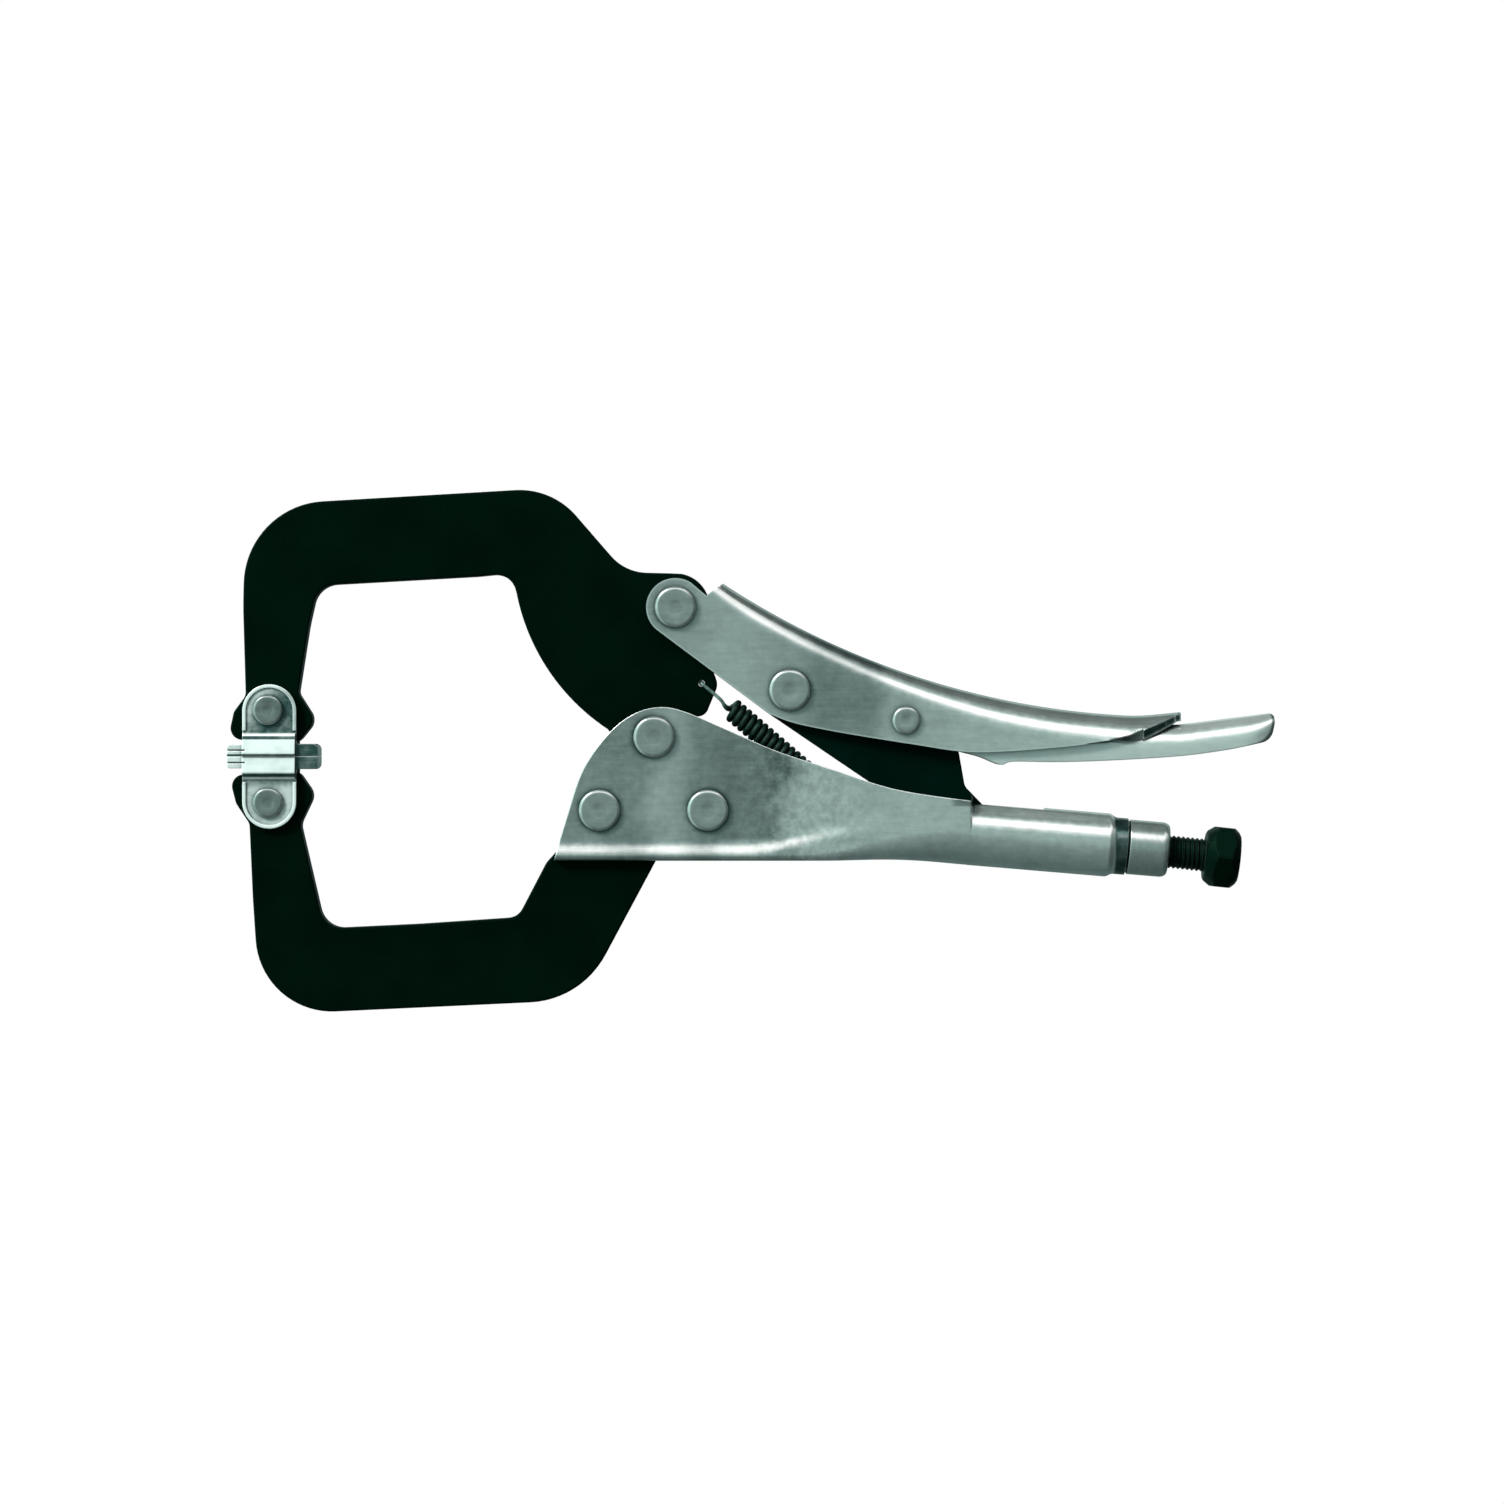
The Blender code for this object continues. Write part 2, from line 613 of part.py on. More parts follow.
def spring_path():
    """Centre line of the wire: from the moving jaw's hook, round the coil, to the hook in the body's tab."""
    hook = Vector((HOOK_HOLE[0], 0, HOOK_HOLE[1]))
    anchor = Vector((SPRING_ANCHOR[0], 0, SPRING_ANCHOR[1]))
    along = (anchor - hook).normalized()
    up = Vector((0, 1, 0)).cross(along)
    length = (anchor - hook).length
    coil_end = length - COIL_END_GAP
    outside = -(ARM_HALF + 0.1 + WIRE_RADIUS)
    through = [(0.0, 2.6, 0.0), (0.0, -2.6, 0.0), (0.5, outside + 0.2, 0.0)]
    along_jaw = [(1.9, outside, 0.0), (5.5, outside, 0.0), (8.2, -3.3, 0.3), (COIL_START - 0.9, -2.2, 1.2)]
    first = smooth(through + along_jaw)
    coil = []
    steps = COIL_TURNS * COIL_STEPS
    for k in range(steps + 1):
        a = 2 * math.pi * k / COIL_STEPS + COIL_START_TURN
        distance = COIL_START + (coil_end - COIL_START) * k / steps
        coil.append((distance, -COIL_RADIUS * math.cos(a), COIL_RADIUS * math.sin(a)))
    last = smooth(
        [(length - 3.6, 2.2, 1.0), (length - 1.6, 2.0, 0.0), (length, 1.4, 0.0), (length, -1.6, 0.0)]
    )
    return [hook + along * s + Vector((0, y, 0)) + up * z for s, y, z in first + coil + last]


def wire(path, radius, sides):
    """Rings along a path, each turned from the one before by the least angle."""
    rings = []
    side = None
    for i, point in enumerate(path):
        tangent = (path[min(i + 1, len(path) - 1)] - path[max(i - 1, 0)]).normalized()
        start = side or Vector((1, 0, 0)).cross(tangent)
        side = (start - tangent * start.dot(tangent)).normalized()
        other = tangent.cross(side)
        angles = [2 * math.pi * k / sides for k in range(sides)]
        rings.append([point + side * radius * math.cos(a) + other * radius * math.sin(a) for a in angles])
    return rings


def tension_spring():
    mesh = lofted(wire(spring_path(), WIRE_RADIUS, WIRE_SIDES))
    finished("tension_spring", mesh, SPRING_ANCHOR, blackened())


# Assembly ------------------------------------------------------------------------------------------------


def build():
    for old in list(bpy.data.objects):
        bpy.data.objects.remove(old)
    fixed_handle_body()
    fixed_jaw_arm()
    moving_jaw_arm()
    upper_handle_lever()
    toggle_link()
    toggle_spacer("toggle_spacer_front", -1)
    toggle_spacer("toggle_spacer_back", 1)
    release_lever()
    threaded_end_nut()
    adjusting_screw()
    tension_spring()
    swivel_pad("upper_swivel_pad", UPPER_PAD_PIVOT, 1, GAP)
    swivel_pad("lower_swivel_pad", LOWER_PAD_PIVOT, -1, 0)
    rivet("upper_pad_rivet", UPPER_PAD_PIVOT, PAD_EAR_HALF, PAD_SIZES)
    rivet("lower_pad_rivet", LOWER_PAD_PIVOT, PAD_EAR_HALF, PAD_SIZES)
    for name, centre in (
        ("main_pivot_rivet", MAIN_PIVOT),
        ("fixed_jaw_rivet_front", FRONT_RIVET),
        ("fixed_jaw_rivet_rear", REAR_RIVET),
        ("handle_pivot_rivet", HANDLE_PIVOT),
        ("toggle_pivot_rivet", TOGGLE_PIVOT),
    ):
        rivet(name, centre, CHANNEL_HALF, MAIN_SIZES)
    wall = handle_half(RELEASE_PIVOT[0] + RELEASE_HEAD_RADIUS)
    rivet("release_pivot_rivet", RELEASE_PIVOT, wall, RELEASE_SIZES)


build()
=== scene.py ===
"""Looks of the locking C clamp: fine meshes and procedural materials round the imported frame.

Outlines are lists of (x, z) in millimetres in the frame's side view, +X along the handles and +Z up.
Pivots and rivet centres come from the frame's own boxes, and MM turns millimetres into metres.
"""

import json
import math

import bmesh
import bpy
from mathutils import Matrix, Vector


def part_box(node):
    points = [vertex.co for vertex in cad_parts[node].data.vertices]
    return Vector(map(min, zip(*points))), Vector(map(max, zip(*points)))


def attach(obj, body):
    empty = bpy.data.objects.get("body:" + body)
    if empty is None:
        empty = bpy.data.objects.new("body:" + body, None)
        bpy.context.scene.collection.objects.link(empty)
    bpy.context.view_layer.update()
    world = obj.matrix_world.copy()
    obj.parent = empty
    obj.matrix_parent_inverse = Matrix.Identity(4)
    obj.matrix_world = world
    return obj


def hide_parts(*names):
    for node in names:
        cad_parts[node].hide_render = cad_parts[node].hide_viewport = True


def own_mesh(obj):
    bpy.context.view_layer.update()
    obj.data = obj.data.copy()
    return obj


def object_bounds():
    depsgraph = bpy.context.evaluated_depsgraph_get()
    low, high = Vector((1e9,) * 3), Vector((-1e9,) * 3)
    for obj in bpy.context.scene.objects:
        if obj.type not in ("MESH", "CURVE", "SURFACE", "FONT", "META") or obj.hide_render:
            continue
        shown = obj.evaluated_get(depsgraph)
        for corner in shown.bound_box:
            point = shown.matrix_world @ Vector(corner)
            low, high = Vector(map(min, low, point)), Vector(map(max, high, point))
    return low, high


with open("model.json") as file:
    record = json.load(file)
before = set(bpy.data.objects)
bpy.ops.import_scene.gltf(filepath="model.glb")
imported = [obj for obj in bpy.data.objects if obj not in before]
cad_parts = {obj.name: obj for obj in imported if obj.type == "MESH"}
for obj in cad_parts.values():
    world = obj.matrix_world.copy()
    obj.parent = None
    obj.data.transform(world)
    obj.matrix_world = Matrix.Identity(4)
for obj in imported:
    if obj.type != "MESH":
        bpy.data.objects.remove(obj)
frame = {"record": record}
CAD_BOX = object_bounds()
MM = 0.001


def centre(node):
    """The (x, z) centre of a CAD node's box, in millimetres."""
    low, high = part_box(node)
    return ((low[0] + high[0]) / 2 / MM, (low[2] + high[2]) / 2 / MM)


MAIN_PIVOT = centre("main_pivot_rivet")
HANDLE_PIVOT = centre("handle_pivot_rivet")
TOGGLE_PIVOT = centre("toggle_pivot_rivet")
RELEASE_PIVOT = centre("release_pivot_rivet")
FRONT_RIVET = centre("fixed_jaw_rivet_front")
REAR_RIVET = centre("fixed_jaw_rivet_rear")
UPPER_PAD_PIVOT = centre("upper_pad_rivet")
LOWER_PAD_PIVOT = centre("lower_pad_rivet")
JOINTS = {joint["name"]: joint for joint in frame["record"]["behaviour"]["joints"]}
SPRING_ANCHOR = tuple(JOINTS["spring_swing"]["pos_m"][i] / MM for i in (0, 2))
HOOK_HOLE = (116.0, 19.6)
HOOK_HOLE_RADIUS = 0.85
LINK_TAIL = (193.0, -21.1)

# The tube and its nut share this axis, and the screw leaves it only by its play.
AXIS_START = (190.5, -20.9)
AXIS_DROP = math.radians(4.8)
AXIS_DIRECTION = (math.cos(AXIS_DROP), 0, -math.sin(AXIS_DROP))

# Thicknesses across the clamp: a half is measured from the middle plane.
ARM_HALF = 3.6
LINK_HALF = 2.4
SHEET = 1.8
CHANNEL_HALF = 6.5
TUBE_RADIUS = 8.5
GAP = 0.3
PAD_EAR_HALF = 5.7

# Rivets: shank radius, head radius and head height, and the bores that take the shanks.
MAIN_SIZES = (2.7, 5.5, 1.7)
PAD_SIZES = (2.0, 4.0, 1.3)
RELEASE_SIZES = (1.8, 3.7, 1.4)
RIVET_BORE = MAIN_SIZES[0] + GAP
PAD_BORE = PAD_SIZES[0] + GAP
RELEASE_BORE = RELEASE_SIZES[0] + GAP

# Adjusting screw and its nut, as distances along the tube axis from AXIS_START.
SCREW_RADIUS = 4.5
SCREW_TIP = 12.6
HEAD_START = 60.8
HEAD_END = 70.0
HEAD_ACROSS_FLATS = 16.0
CRIMP_START = 35.6
CRIMP_END = 39.6
CRIMP_DEPTH = 0.9
NUT_START = 26.0
NUT_END = 50.9
NUT_RADIUS = 7.35
THREAD_PITCH = 1.25
THREAD_DEPTH = 0.55
SCREW_PLAY = 0.4
SCREW_SAG = math.radians(1.15)
SAG_CENTRE = 32.2

# Spring: its wire in the coil, in the hook, inside the hook's hole and in the body's tab.
WIRE_RADIUS = 0.86
HOOK_WIRE_RADIUS = 0.47
HOOK_PLUG_RADIUS = 0.74
TAB_WIRE_RADIUS = 0.52
COIL_RADIUS = 2.4
COIL_TURNS = 19
COIL_START_TURN = math.radians(210)
COIL_START = 10.6
COIL_END_GAP = 5.0

SAME_POINT = 0.001
ARC_TURN = math.radians(5)
CUTTER_HALF = 20.0


# Outlines ------------


def arc(middle, radius, start, end, turn=ARC_TURN):
    """Points from angle start to angle end, in degrees, measured from +X towards +Z."""
    steps = max(2, math.ceil(abs(math.radians(end - start)) / turn))
    angles = [math.radians(start + (end - start) * k / steps) for k in range(steps + 1)]
    return [(middle[0] + radius * math.cos(a), middle[1] + radius * math.sin(a)) for a in angles]


def rounded(corners, turn=ARC_TURN):
    """A closed outline from (x, z, radius) corners, each replaced by an arc tangent to both of its sides."""
    points = []
    for i, (x, z, radius) in enumerate(corners):
        here = Vector((x, z))
        before = (Vector(corners[i - 1][:2]) - here).normalized()
        after = (Vector(corners[(i + 1) % len(corners)][:2]) - here).normalized()
        if radius == 0:
            points.append((x, z))
            continue
        half = before.angle(after) / 2
        middle = here + (before + after).normalized() * radius / math.sin(half)
        spoke = here + before * radius / math.tan(half) - middle
        sweep = math.pi - 2 * half
        if before.x * after.y - before.y * after.x > 0:
            sweep = -sweep
        steps = max(1, math.ceil(abs(sweep) / turn))
        for k in range(steps + 1):
            c = math.cos(sweep * k / steps)
            s = math.sin(sweep * k / steps)
            points.append((middle.x + c * spoke.x - s * spoke.y, middle.y + s * spoke.x + c * spoke.y))
    return points


def smooth(points, steps=8):
    """Points along a Catmull-Rom curve through these, both ends included."""
    padded = [points[0]] + list(points) + [points[-1]]
    found = []
    for a, b, c, d in zip(padded, padded[1:], padded[2:], padded[3:]):
        for k in range(steps):
            t = k / steps
            weights = (
                (2 * t * t - t - t**3) / 2,
                (3 * t**3 - 5 * t * t + 2) / 2,
                (4 * t * t + t - 3 * t**3) / 2,
                (t**3 - t * t) / 2,
            )
            found.append(tuple(sum(w * p[i] for w, p in zip(weights, (a, b, c, d))) for i in range(len(b))))
    return found + [tuple(points[-1])]


def between(x, start, end, low, high):
    """low up to start, high from end on, and a smooth step between them."""
    t = min(1.0, max(0.0, (x - start) / (end - start)))
    return low + (high - low) * t * t * (3 - 2 * t)


def spaced(start, end, step):
    """Evenly spaced values from start to end, about step apart."""
    count = max(1, round((end - start) / step))
    return [start + (end - start) * k / count for k in range(count + 1)]


def cleaned(outline, least=0.02):
    """The outline without points closer than least to the one before."""
    kept = []
    for point in outline:
        if not kept or math.dist(point, kept[-1]) > least:
            kept.append(point)
    if math.dist(kept[0], kept[-1]) <= least:
        kept.pop()
    return kept


def shrunk(outline, depth):
    """The outline moved inwards by depth along its corner bisectors."""
    area = sum(a[0] * b[1] - b[0] * a[1] for a, b in zip(outline, outline[1:] + outline[:1]))
    turn = 1 if area > 0 else -1
    found = []
    for i, here in enumerate(outline):
        before = Vector(here) - Vector(outline[i - 1])
        after = Vector(outline[(i + 1) % len(outline)]) - Vector(here)
        one = Vector((-before.y, before.x)).normalized() * turn
        two = Vector((-after.y, after.x)).normalized() * turn
        middle = (one + two).normalized()
        reach = depth / max(0.5, middle.dot(one))
        found.append((here[0] + middle.x * reach, here[1] + middle.y * reach))
    return found


# Meshes ------------


def lofted(rings, capped=True):
    """A closed bmesh through rings of equally many points; without caps, the last ring meets the first."""
    mesh = bmesh.new()
    rows = [[mesh.verts.new(point) for point in ring] for ring in rings]
    pairs = list(zip(rows, rows[1:]))
    if capped:
        mesh.faces.new(rows[0])
        mesh.faces.new(rows[-1])
    else:
        pairs.append((rows[-1], rows[0]))
    for low, high in pairs:
        for k in range(len(low)):
            mesh.faces.new((low[k - 1], low[k], high[k], high[k - 1]))
    bmesh.ops.remove_doubles(mesh, verts=mesh.verts, dist=SAME_POINT)
    bmesh.ops.recalc_face_normals(mesh, faces=mesh.faces)
    return mesh


def linked(name, data):
    made = bpy.data.objects.new(name, data)
    bpy.context.scene.collection.objects.link(made)
    return made


def placed(name, mesh):
    """An object from a bmesh in millimetres."""
    mesh.transform(Matrix.Scale(MM, 4))
    data = bpy.data.meshes.new(name)
    mesh.to_mesh(data)
    mesh.free()
    return linked(name, data)


def carved(target, steps):
    """target after a list of (operation, tool) Booleans, with the tools removed."""
    for operation, tool in steps:
        modifier = target.modifiers.new(tool.name, "BOOLEAN")
        modifier.operation = operation
        modifier.solver = "EXACT"
        modifier.object = tool
    bpy.context.view_layer.update()
    graph = bpy.context.evaluated_depsgraph_get()
    data = bpy.data.meshes.new_from_object(target.evaluated_get(graph))
    target.modifiers.clear()
    target.data = data
    for _, tool in steps:
        bpy.data.objects.remove(tool)
    tidy = bmesh.new()
    tidy.from_mesh(data)
    bmesh.ops.remove_doubles(tidy, verts=tidy.verts, dist=0.01 * MM)
    tidy.to_mesh(data)
    tidy.free()
    return target


def slab(name, outline, low=-CUTTER_HALF, high=CUTTER_HALF):
    """A closed outline in the side view, extruded along Y from low to high."""
    outline = cleaned(outline)
    return placed(name, lofted([[(x, y, z) for x, z in outline] for y in (low, high)]))


def rectangle(x, z):
    return [(x[0], z[0]), (x[1], z[0]), (x[1], z[1]), (x[0], z[1])]


def block(name, x, z, half):
    return slab(name, rectangle(x, z), -half, half)


def hole(middle, radius, half=CUTTER_HALF):
    return ("DIFFERENCE", slab("hole", arc(middle, radius, 0, 360)[:-1], -half, half))


def plate(name, outline, half, edge, steps=3):
    """A flat plate with rounded edges of radius edge."""
    outline = cleaned(outline)
    sides = []
    for k in range(steps + 1):
        a = math.pi / 2 * k / steps
        sides.append((half - edge + edge * math.sin(math.pi / 2 - a), edge * (1 - math.sin(a))))
    rings = []
    for y, depth in sides + [(-y, depth) for y, depth in reversed(sides)]:
        rings.append([(x, y, z) for x, z in shrunk(outline, depth)])
    return placed(name, lofted(rings))


def turned_rings(profile, start, direction, steps):
    """Rings about the line from start along direction, one for each (distance, radius) of profile.
    A radius can be a function of the angle."""
    along = Vector(direction).normalized()
    side = Vector((0, 1, 0)) if abs(along.y) < 0.5 else Vector((1, 0, 0))
    up = along.cross(side)
    rings = []
    for distance, radius in profile:
        ring = []
        for k in range(steps):
            a = 2 * math.pi * k / steps
            reach = radius(a) if callable(radius) else radius
            spoke = side * math.cos(a) + up * math.sin(a)
            ring.append(Vector(start) + along * distance + spoke * reach)
        rings.append(ring)
    return rings


def tube_axis(distance):
    """The point of the tube axis at this distance from its start."""
    return (
        AXIS_START[0] + distance * math.cos(AXIS_DROP),
        0,
        AXIS_START[1] - distance * math.sin(AXIS_DROP),
    )


def box_ring(x, z, tilt, half, bottom, top, low_radius, high_radius, corner_steps=10):
    """A rounded rectangle across the clamp at (x, z), leaning by tilt, from bottom to top of that point."""
    corners = (
        (half - high_radius, top - high_radius, high_radius, 0),
        (half - high_radius, top - high_radius, high_radius, 90),
        (half - low_radius, bottom + low_radius, low_radius, 180),
        (half - low_radius, bottom + low_radius, low_radius, 270),
    )
    ring = []
    for quarter, (reach, height, radius, start) in enumerate(corners):
        side = 1 if quarter in (0, 3) else -1
        for k in range(corner_steps + 1):
            a = math.radians(start + 90 * k / corner_steps)
            y = side * reach + radius * math.cos(a)
            up = height + radius * math.sin(a)
            ring.append((x - up * math.sin(tilt), y, z + up * math.cos(tilt)))
    return ring


def wire(path, radii, sides):
    """Rings along a path, one radius for each point, each turned from the one before by the least angle."""
    rings = []
    side = None
    for i, point in enumerate(path):
        tangent = (path[min(i + 1, len(path) - 1)] - path[max(i - 1, 0)]).normalized()
        start = side or Vector((1, 0, 0)).cross(tangent)
        side = (start - tangent * start.dot(tangent)).normalized()
        other = tangent.cross(side)
        angles = [2 * math.pi * k / sides for k in range(sides)]
        rings.append([point + (side * math.cos(a) + other * math.sin(a)) * radii[i] for a in angles])
    return rings


def finished(piece, body, node, look, sharp=35):
    """Shades a piece, gives it its material, and has it ride on body in place of the CAD node."""
    piece.data.materials.clear()
    piece.data.materials.append(look)
    piece.data.shade_smooth()
    piece.data.set_sharp_from_angle(angle=math.radians(sharp))
    normals = piece.modifiers.new("face_weighted_normals", "WEIGHTED_NORMAL")
    normals.keep_sharp = True
    normals.weight = 80
    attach(piece, body)
    if node:
        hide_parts(node)
    return piece


# Materials ------------


class Nodes:
    """A node tree under construction: inputs take values or other nodes' outputs."""

    def __init__(self, owner):
        owner.use_nodes = True
        self.tree = owner.node_tree
        self.tree.nodes.clear()

    def node(self, kind, inputs=None, **settings):
        made = self.tree.nodes.new(kind)
        for key, value in settings.items():
            setattr(made, key, value)
        for key, value in (inputs or {}).items():
            if isinstance(value, bpy.types.NodeSocket):
                self.tree.links.new(value, made.inputs[key])
            else:
                made.inputs[key].default_value = value
        return made

    def math(self, operation, *values):
        return self.node("ShaderNodeMath", dict(enumerate(values)), operation=operation).outputs[0]

    def plus(self, one, two):
        return self.math("ADD", one, two)

    def minus(self, one, two):
        return self.math("SUBTRACT", one, two)

    def times(self, one, two):
        return self.math("MULTIPLY", one, two)

    def varied(self, base, noise, amount):
        """base with noise of 0 to 1 added, centred on zero and scaled by amount."""
        return self.plus(base, self.times(self.minus(noise, 0.5), amount))

    def distance(self, one, two):
        """The length of a vector with these two components."""
        return self.math("SQRT", self.plus(self.times(one, one), self.times(two, two)))

    def span(self, value, low, high, to_low=0.0, to_high=1.0):
        """A smooth step of value from low to high, mapped to to_low and to_high."""
        inputs = {"Value": value, 1: low, 2: high, 3: to_low, 4: to_high}
        return self.node("ShaderNodeMapRange", inputs, interpolation_type="SMOOTHSTEP").outputs[0]

    def ramp(self, value, stops, interpolation="EASE"):
        """Colours along value, from (position in 0 to 1, grey level or colour) stops."""
        made = self.node("ShaderNodeValToRGB", {0: value})
        made.color_ramp.interpolation = interpolation
        elements = made.color_ramp.elements
        while len(elements) < len(stops):
            elements.new(0.5)
        for element, (position, level) in zip(elements, stops):
            element.position = position
            element.color = (*level, 1) if isinstance(level, tuple) else (level, level, level, 1)
        return made.outputs[0]

    def mix(self, factor, one, two):
        return self.node("ShaderNodeMix", {0: factor, 6: one, 7: two}, data_type="RGBA").outputs[2]


class Look(Nodes):
    """A material under construction, with its piece's own coordinates in millimetres."""

    def __init__(self, name):
        self.material = bpy.data.materials.new(name)
        super().__init__(self.material)
        place = self.node("ShaderNodeTexCoord").outputs["Object"]
        self.mm = self.node("ShaderNodeVectorMath", {0: place, 3: 1 / MM}, operation="SCALE").outputs[0]
        axes = self.node("ShaderNodeSeparateXYZ", {0: self.mm})
        self.x, self.y, self.z = axes.outputs[0], axes.outputs[1], axes.outputs[2]

    def noise(self, size, detail=3.0, roughness=0.55, stretch=None, seed=0.0):
        """Noise in 0 to 1 whose features are about size millimetres."""
        where = self.mm
        if stretch:
            stretched = self.node("ShaderNodeVectorMath", {0: where, 1: stretch}, operation="MULTIPLY")
            where = stretched.outputs[0]
        inputs = {"Vector": where, "W": seed, "Scale": 1 / size, "Detail": detail, "Roughness": roughness}
        return self.node("ShaderNodeTexNoise", inputs, noise_dimensions="4D").outputs[0]

    def edges(self, radius):
        """How strongly the surface turns within radius millimetres, and the normal with edges rounded so."""
        soft = self.node("ShaderNodeBevel", {"Radius": radius * MM}, samples=6).outputs[0]
        true = self.node("ShaderNodeNewGeometry").outputs["Normal"]
        aligned = self.node("ShaderNodeVectorMath", {0: soft, 1: true}, operation="DOT_PRODUCT")
        return self.span(aligned.outputs["Value"], 0.985, 0.86), soft

    def painted_contact_shade(self, reach):
        """Painted shade: how closely other surfaces crowd this one within reach millimetres."""
        inputs = {"Distance": reach * MM}
        openness = self.node("ShaderNodeAmbientOcclusion", inputs, samples=6).outputs["AO"]
        return self.span(openness, 0.95, 0.35)

    def bump(self, height, strength, distance, normal=None):
        inputs = {"Strength": strength, "Distance": distance * MM, "Height": height}
        if normal:
            inputs["Normal"] = normal
        return self.node("ShaderNodeBump", inputs).outputs[0]

    def finish(self, **inputs):
        named = {key.replace("_", " "): value for key, value in inputs.items()}
        shader = self.node("ShaderNodeBsdfPrincipled", named)
        self.node("ShaderNodeOutputMaterial", {0: shader.outputs[0]})
        return self.material


DARK_PLATING = (0.030, 0.075, 0.070, 1)
LIGHT_PLATING = (1.0, 1.0, 0.975, 1)


def plated_steel(name, tone=None, level=0.6, blotch=0.35, seed=0.0, rim=0.6, brushed=(0.06, 1.0, 1.0),
                 metal=0.88, crisp=False):
    """Bright plating over pressed steel: cloudy stains, fine mottling, long brush lines, painted highlights
    along the edges (painted shade where rim is below zero) and painted shade where other surfaces crowd
    close.
    tone(look, clouds, mottle) gives the broad light and dark along the piece, in place of an even level."""
    look = Look(name)
    clouds = look.noise(14.0, 3.0, 0.6, seed=seed)
    mottle = look.noise(2.2, 5.0, 0.65, seed=seed + 3.0)
    lines = look.noise(0.5, 2.0, 0.5, stretch=brushed, seed=seed + 5.0)
    speckle = look.noise(0.35, 2.0, 0.6, seed=seed + 7.0)
    shorter = tuple(2 * b if b < 1 else b for b in brushed)
    streaks = look.noise(1.3, 3.0, 0.6, stretch=shorter, seed=seed + 9.0)
    shade = tone(look, clouds, mottle) if tone else level
    for noise, amount in ((clouds, blotch), (mottle, blotch * 0.8), (lines, 0.12), (streaks, 0.22)):
        shade = look.varied(shade, noise, amount)
    edge, soft = look.edges(1.0 if crisp else 0.45)
    # Painted highlight along every edge, or painted shade where rim is below zero.
    shade = look.plus(shade, look.times(edge, rim))
    # Painted shade where other surfaces crowd close, such as round rivet heads.
    shade = look.minus(shade, look.times(look.painted_contact_shade(2.0), 0.8))
    shade = look.node("ShaderNodeClamp", {0: shade}).outputs[0]
    colour = look.mix(shade, DARK_PLATING, LIGHT_PLATING)
    rough = look.span(mottle, 0.3, 0.75, 0.13, 0.26)
    height = look.plus(look.times(mottle, 0.6), look.times(speckle, 0.15))
    height = look.plus(height, look.times(lines, 0.25))
    normal = look.bump(height, 0.2, 0.04, None if crisp else soft)
    return look.finish(Base_Color=colour, Metallic=metal, Roughness=rough, Normal=normal)


def body_tone(look, clouds, mottle):
    """The channel is dull round its rivets, with a paler band, and mottled bright where the tube begins; a
    painted highlight runs along the top of the floor's bulge, painted shade fills the crimp's groove, and a
    darker strip lies at the tube's mouth.
    """
    along = look.math("DIVIDE", look.minus(look.varied(look.x, clouds, 18.0), 75.0), 120.0)
    stops = [(0.0, 0.48), (0.18, 0.40), (0.28, 0.62), (0.36, 0.33)]
    stops += [(0.49, 0.34), (0.58, 0.86), (0.7, 0.78), (1.0, 0.8)]
    # Painted highlight along the bulge just above the floor, from x 112 on.
    crest_painted_highlight = look.times(look.span(look.z, -20.5, -23.0), look.span(look.x, 112.0, 124.0, 0.0, 0.6))
    base = look.math("MAXIMUM", look.ramp(along, stops), crest_painted_highlight)
    patches = look.times(look.span(mottle, 0.38, 0.64, -0.08, 0.08), look.span(look.x, 124.0, 140.0))
    patches = look.times(patches, look.span(look.x, 168.0, 148.0))
    # Painted shade in the crimp's groove; a strip at the tube's mouth is darkened as well.
    crimp = look.times(look.span(look.x, 226.2, 227.0), 0.78)
    lip = look.times(look.span(look.x, 182.0, 184.5), look.span(look.z, -13.6, -12.9))
    dark = look.math("MAXIMUM", crimp, look.times(lip, 0.5))
    return look.minus(look.plus(base, patches), dark)


def handle_tone(look, clouds, mottle):
    """The handle is pale but for a dull patch behind its toggle rivet, painted shade along its top and
    painted shade on its cut edge.
    """
    along = look.math("DIVIDE", look.minus(look.varied(look.x, clouds, 10.0), 100.0), 150.0)
    stops = [(0.0, 0.58), (0.18, 0.66), (0.27, 0.55), (0.33, 0.34)]
    stops += [(0.40, 0.40), (0.44, 0.66), (0.7, 0.85), (1.0, 0.8)]
    base = look.ramp(along, stops)
    normal = look.node("ShaderNodeNewGeometry").outputs["True Normal"]
    facing_up = look.node("ShaderNodeSeparateXYZ", {0: normal}).outputs[2]
    # Painted shade on the downward-facing cut edge of the tail and on the rear end.
    sheared = look.times(look.span(facing_up, -0.01, -0.07), look.span(look.x, 214.0, 222.0))
    sheared = look.math("MAXIMUM", sheared, look.span(look.x, 243.4, 244.3))
    # Painted shade where the rounded top faces upwards.
    crown_painted_shade = look.times(look.span(facing_up, 0.60, 0.90), 0.24)
    return look.minus(look.minus(base, crown_painted_shade), look.times(sheared, 0.78))


def release_tone(look, clouds, mottle):
    """The release lever is bright, with painted shade round its end and a painted highlight on the finger tab
    under its front.
    """
    beyond = look.math("MAXIMUM", look.minus(look.x, 262.5), 0.0)
    away = look.distance(beyond, look.minus(look.z, 9.6))
    # Painted shade along the end's outline.
    end_painted_shade = look.times(look.span(away, 6.0, 6.6), look.span(look.x, 261.5, 264.0, 0.0, 0.75))
    # Painted highlight on the finger tab under the front.
    inside = look.times(look.span(look.x, 187.0, 191.0), look.span(look.x, 201.0, 198.0))
    tab = look.times(inside, look.times(look.span(look.z, 0.2, -0.6), 0.3))
    return look.plus(look.minus(0.92, end_painted_shade), tab)


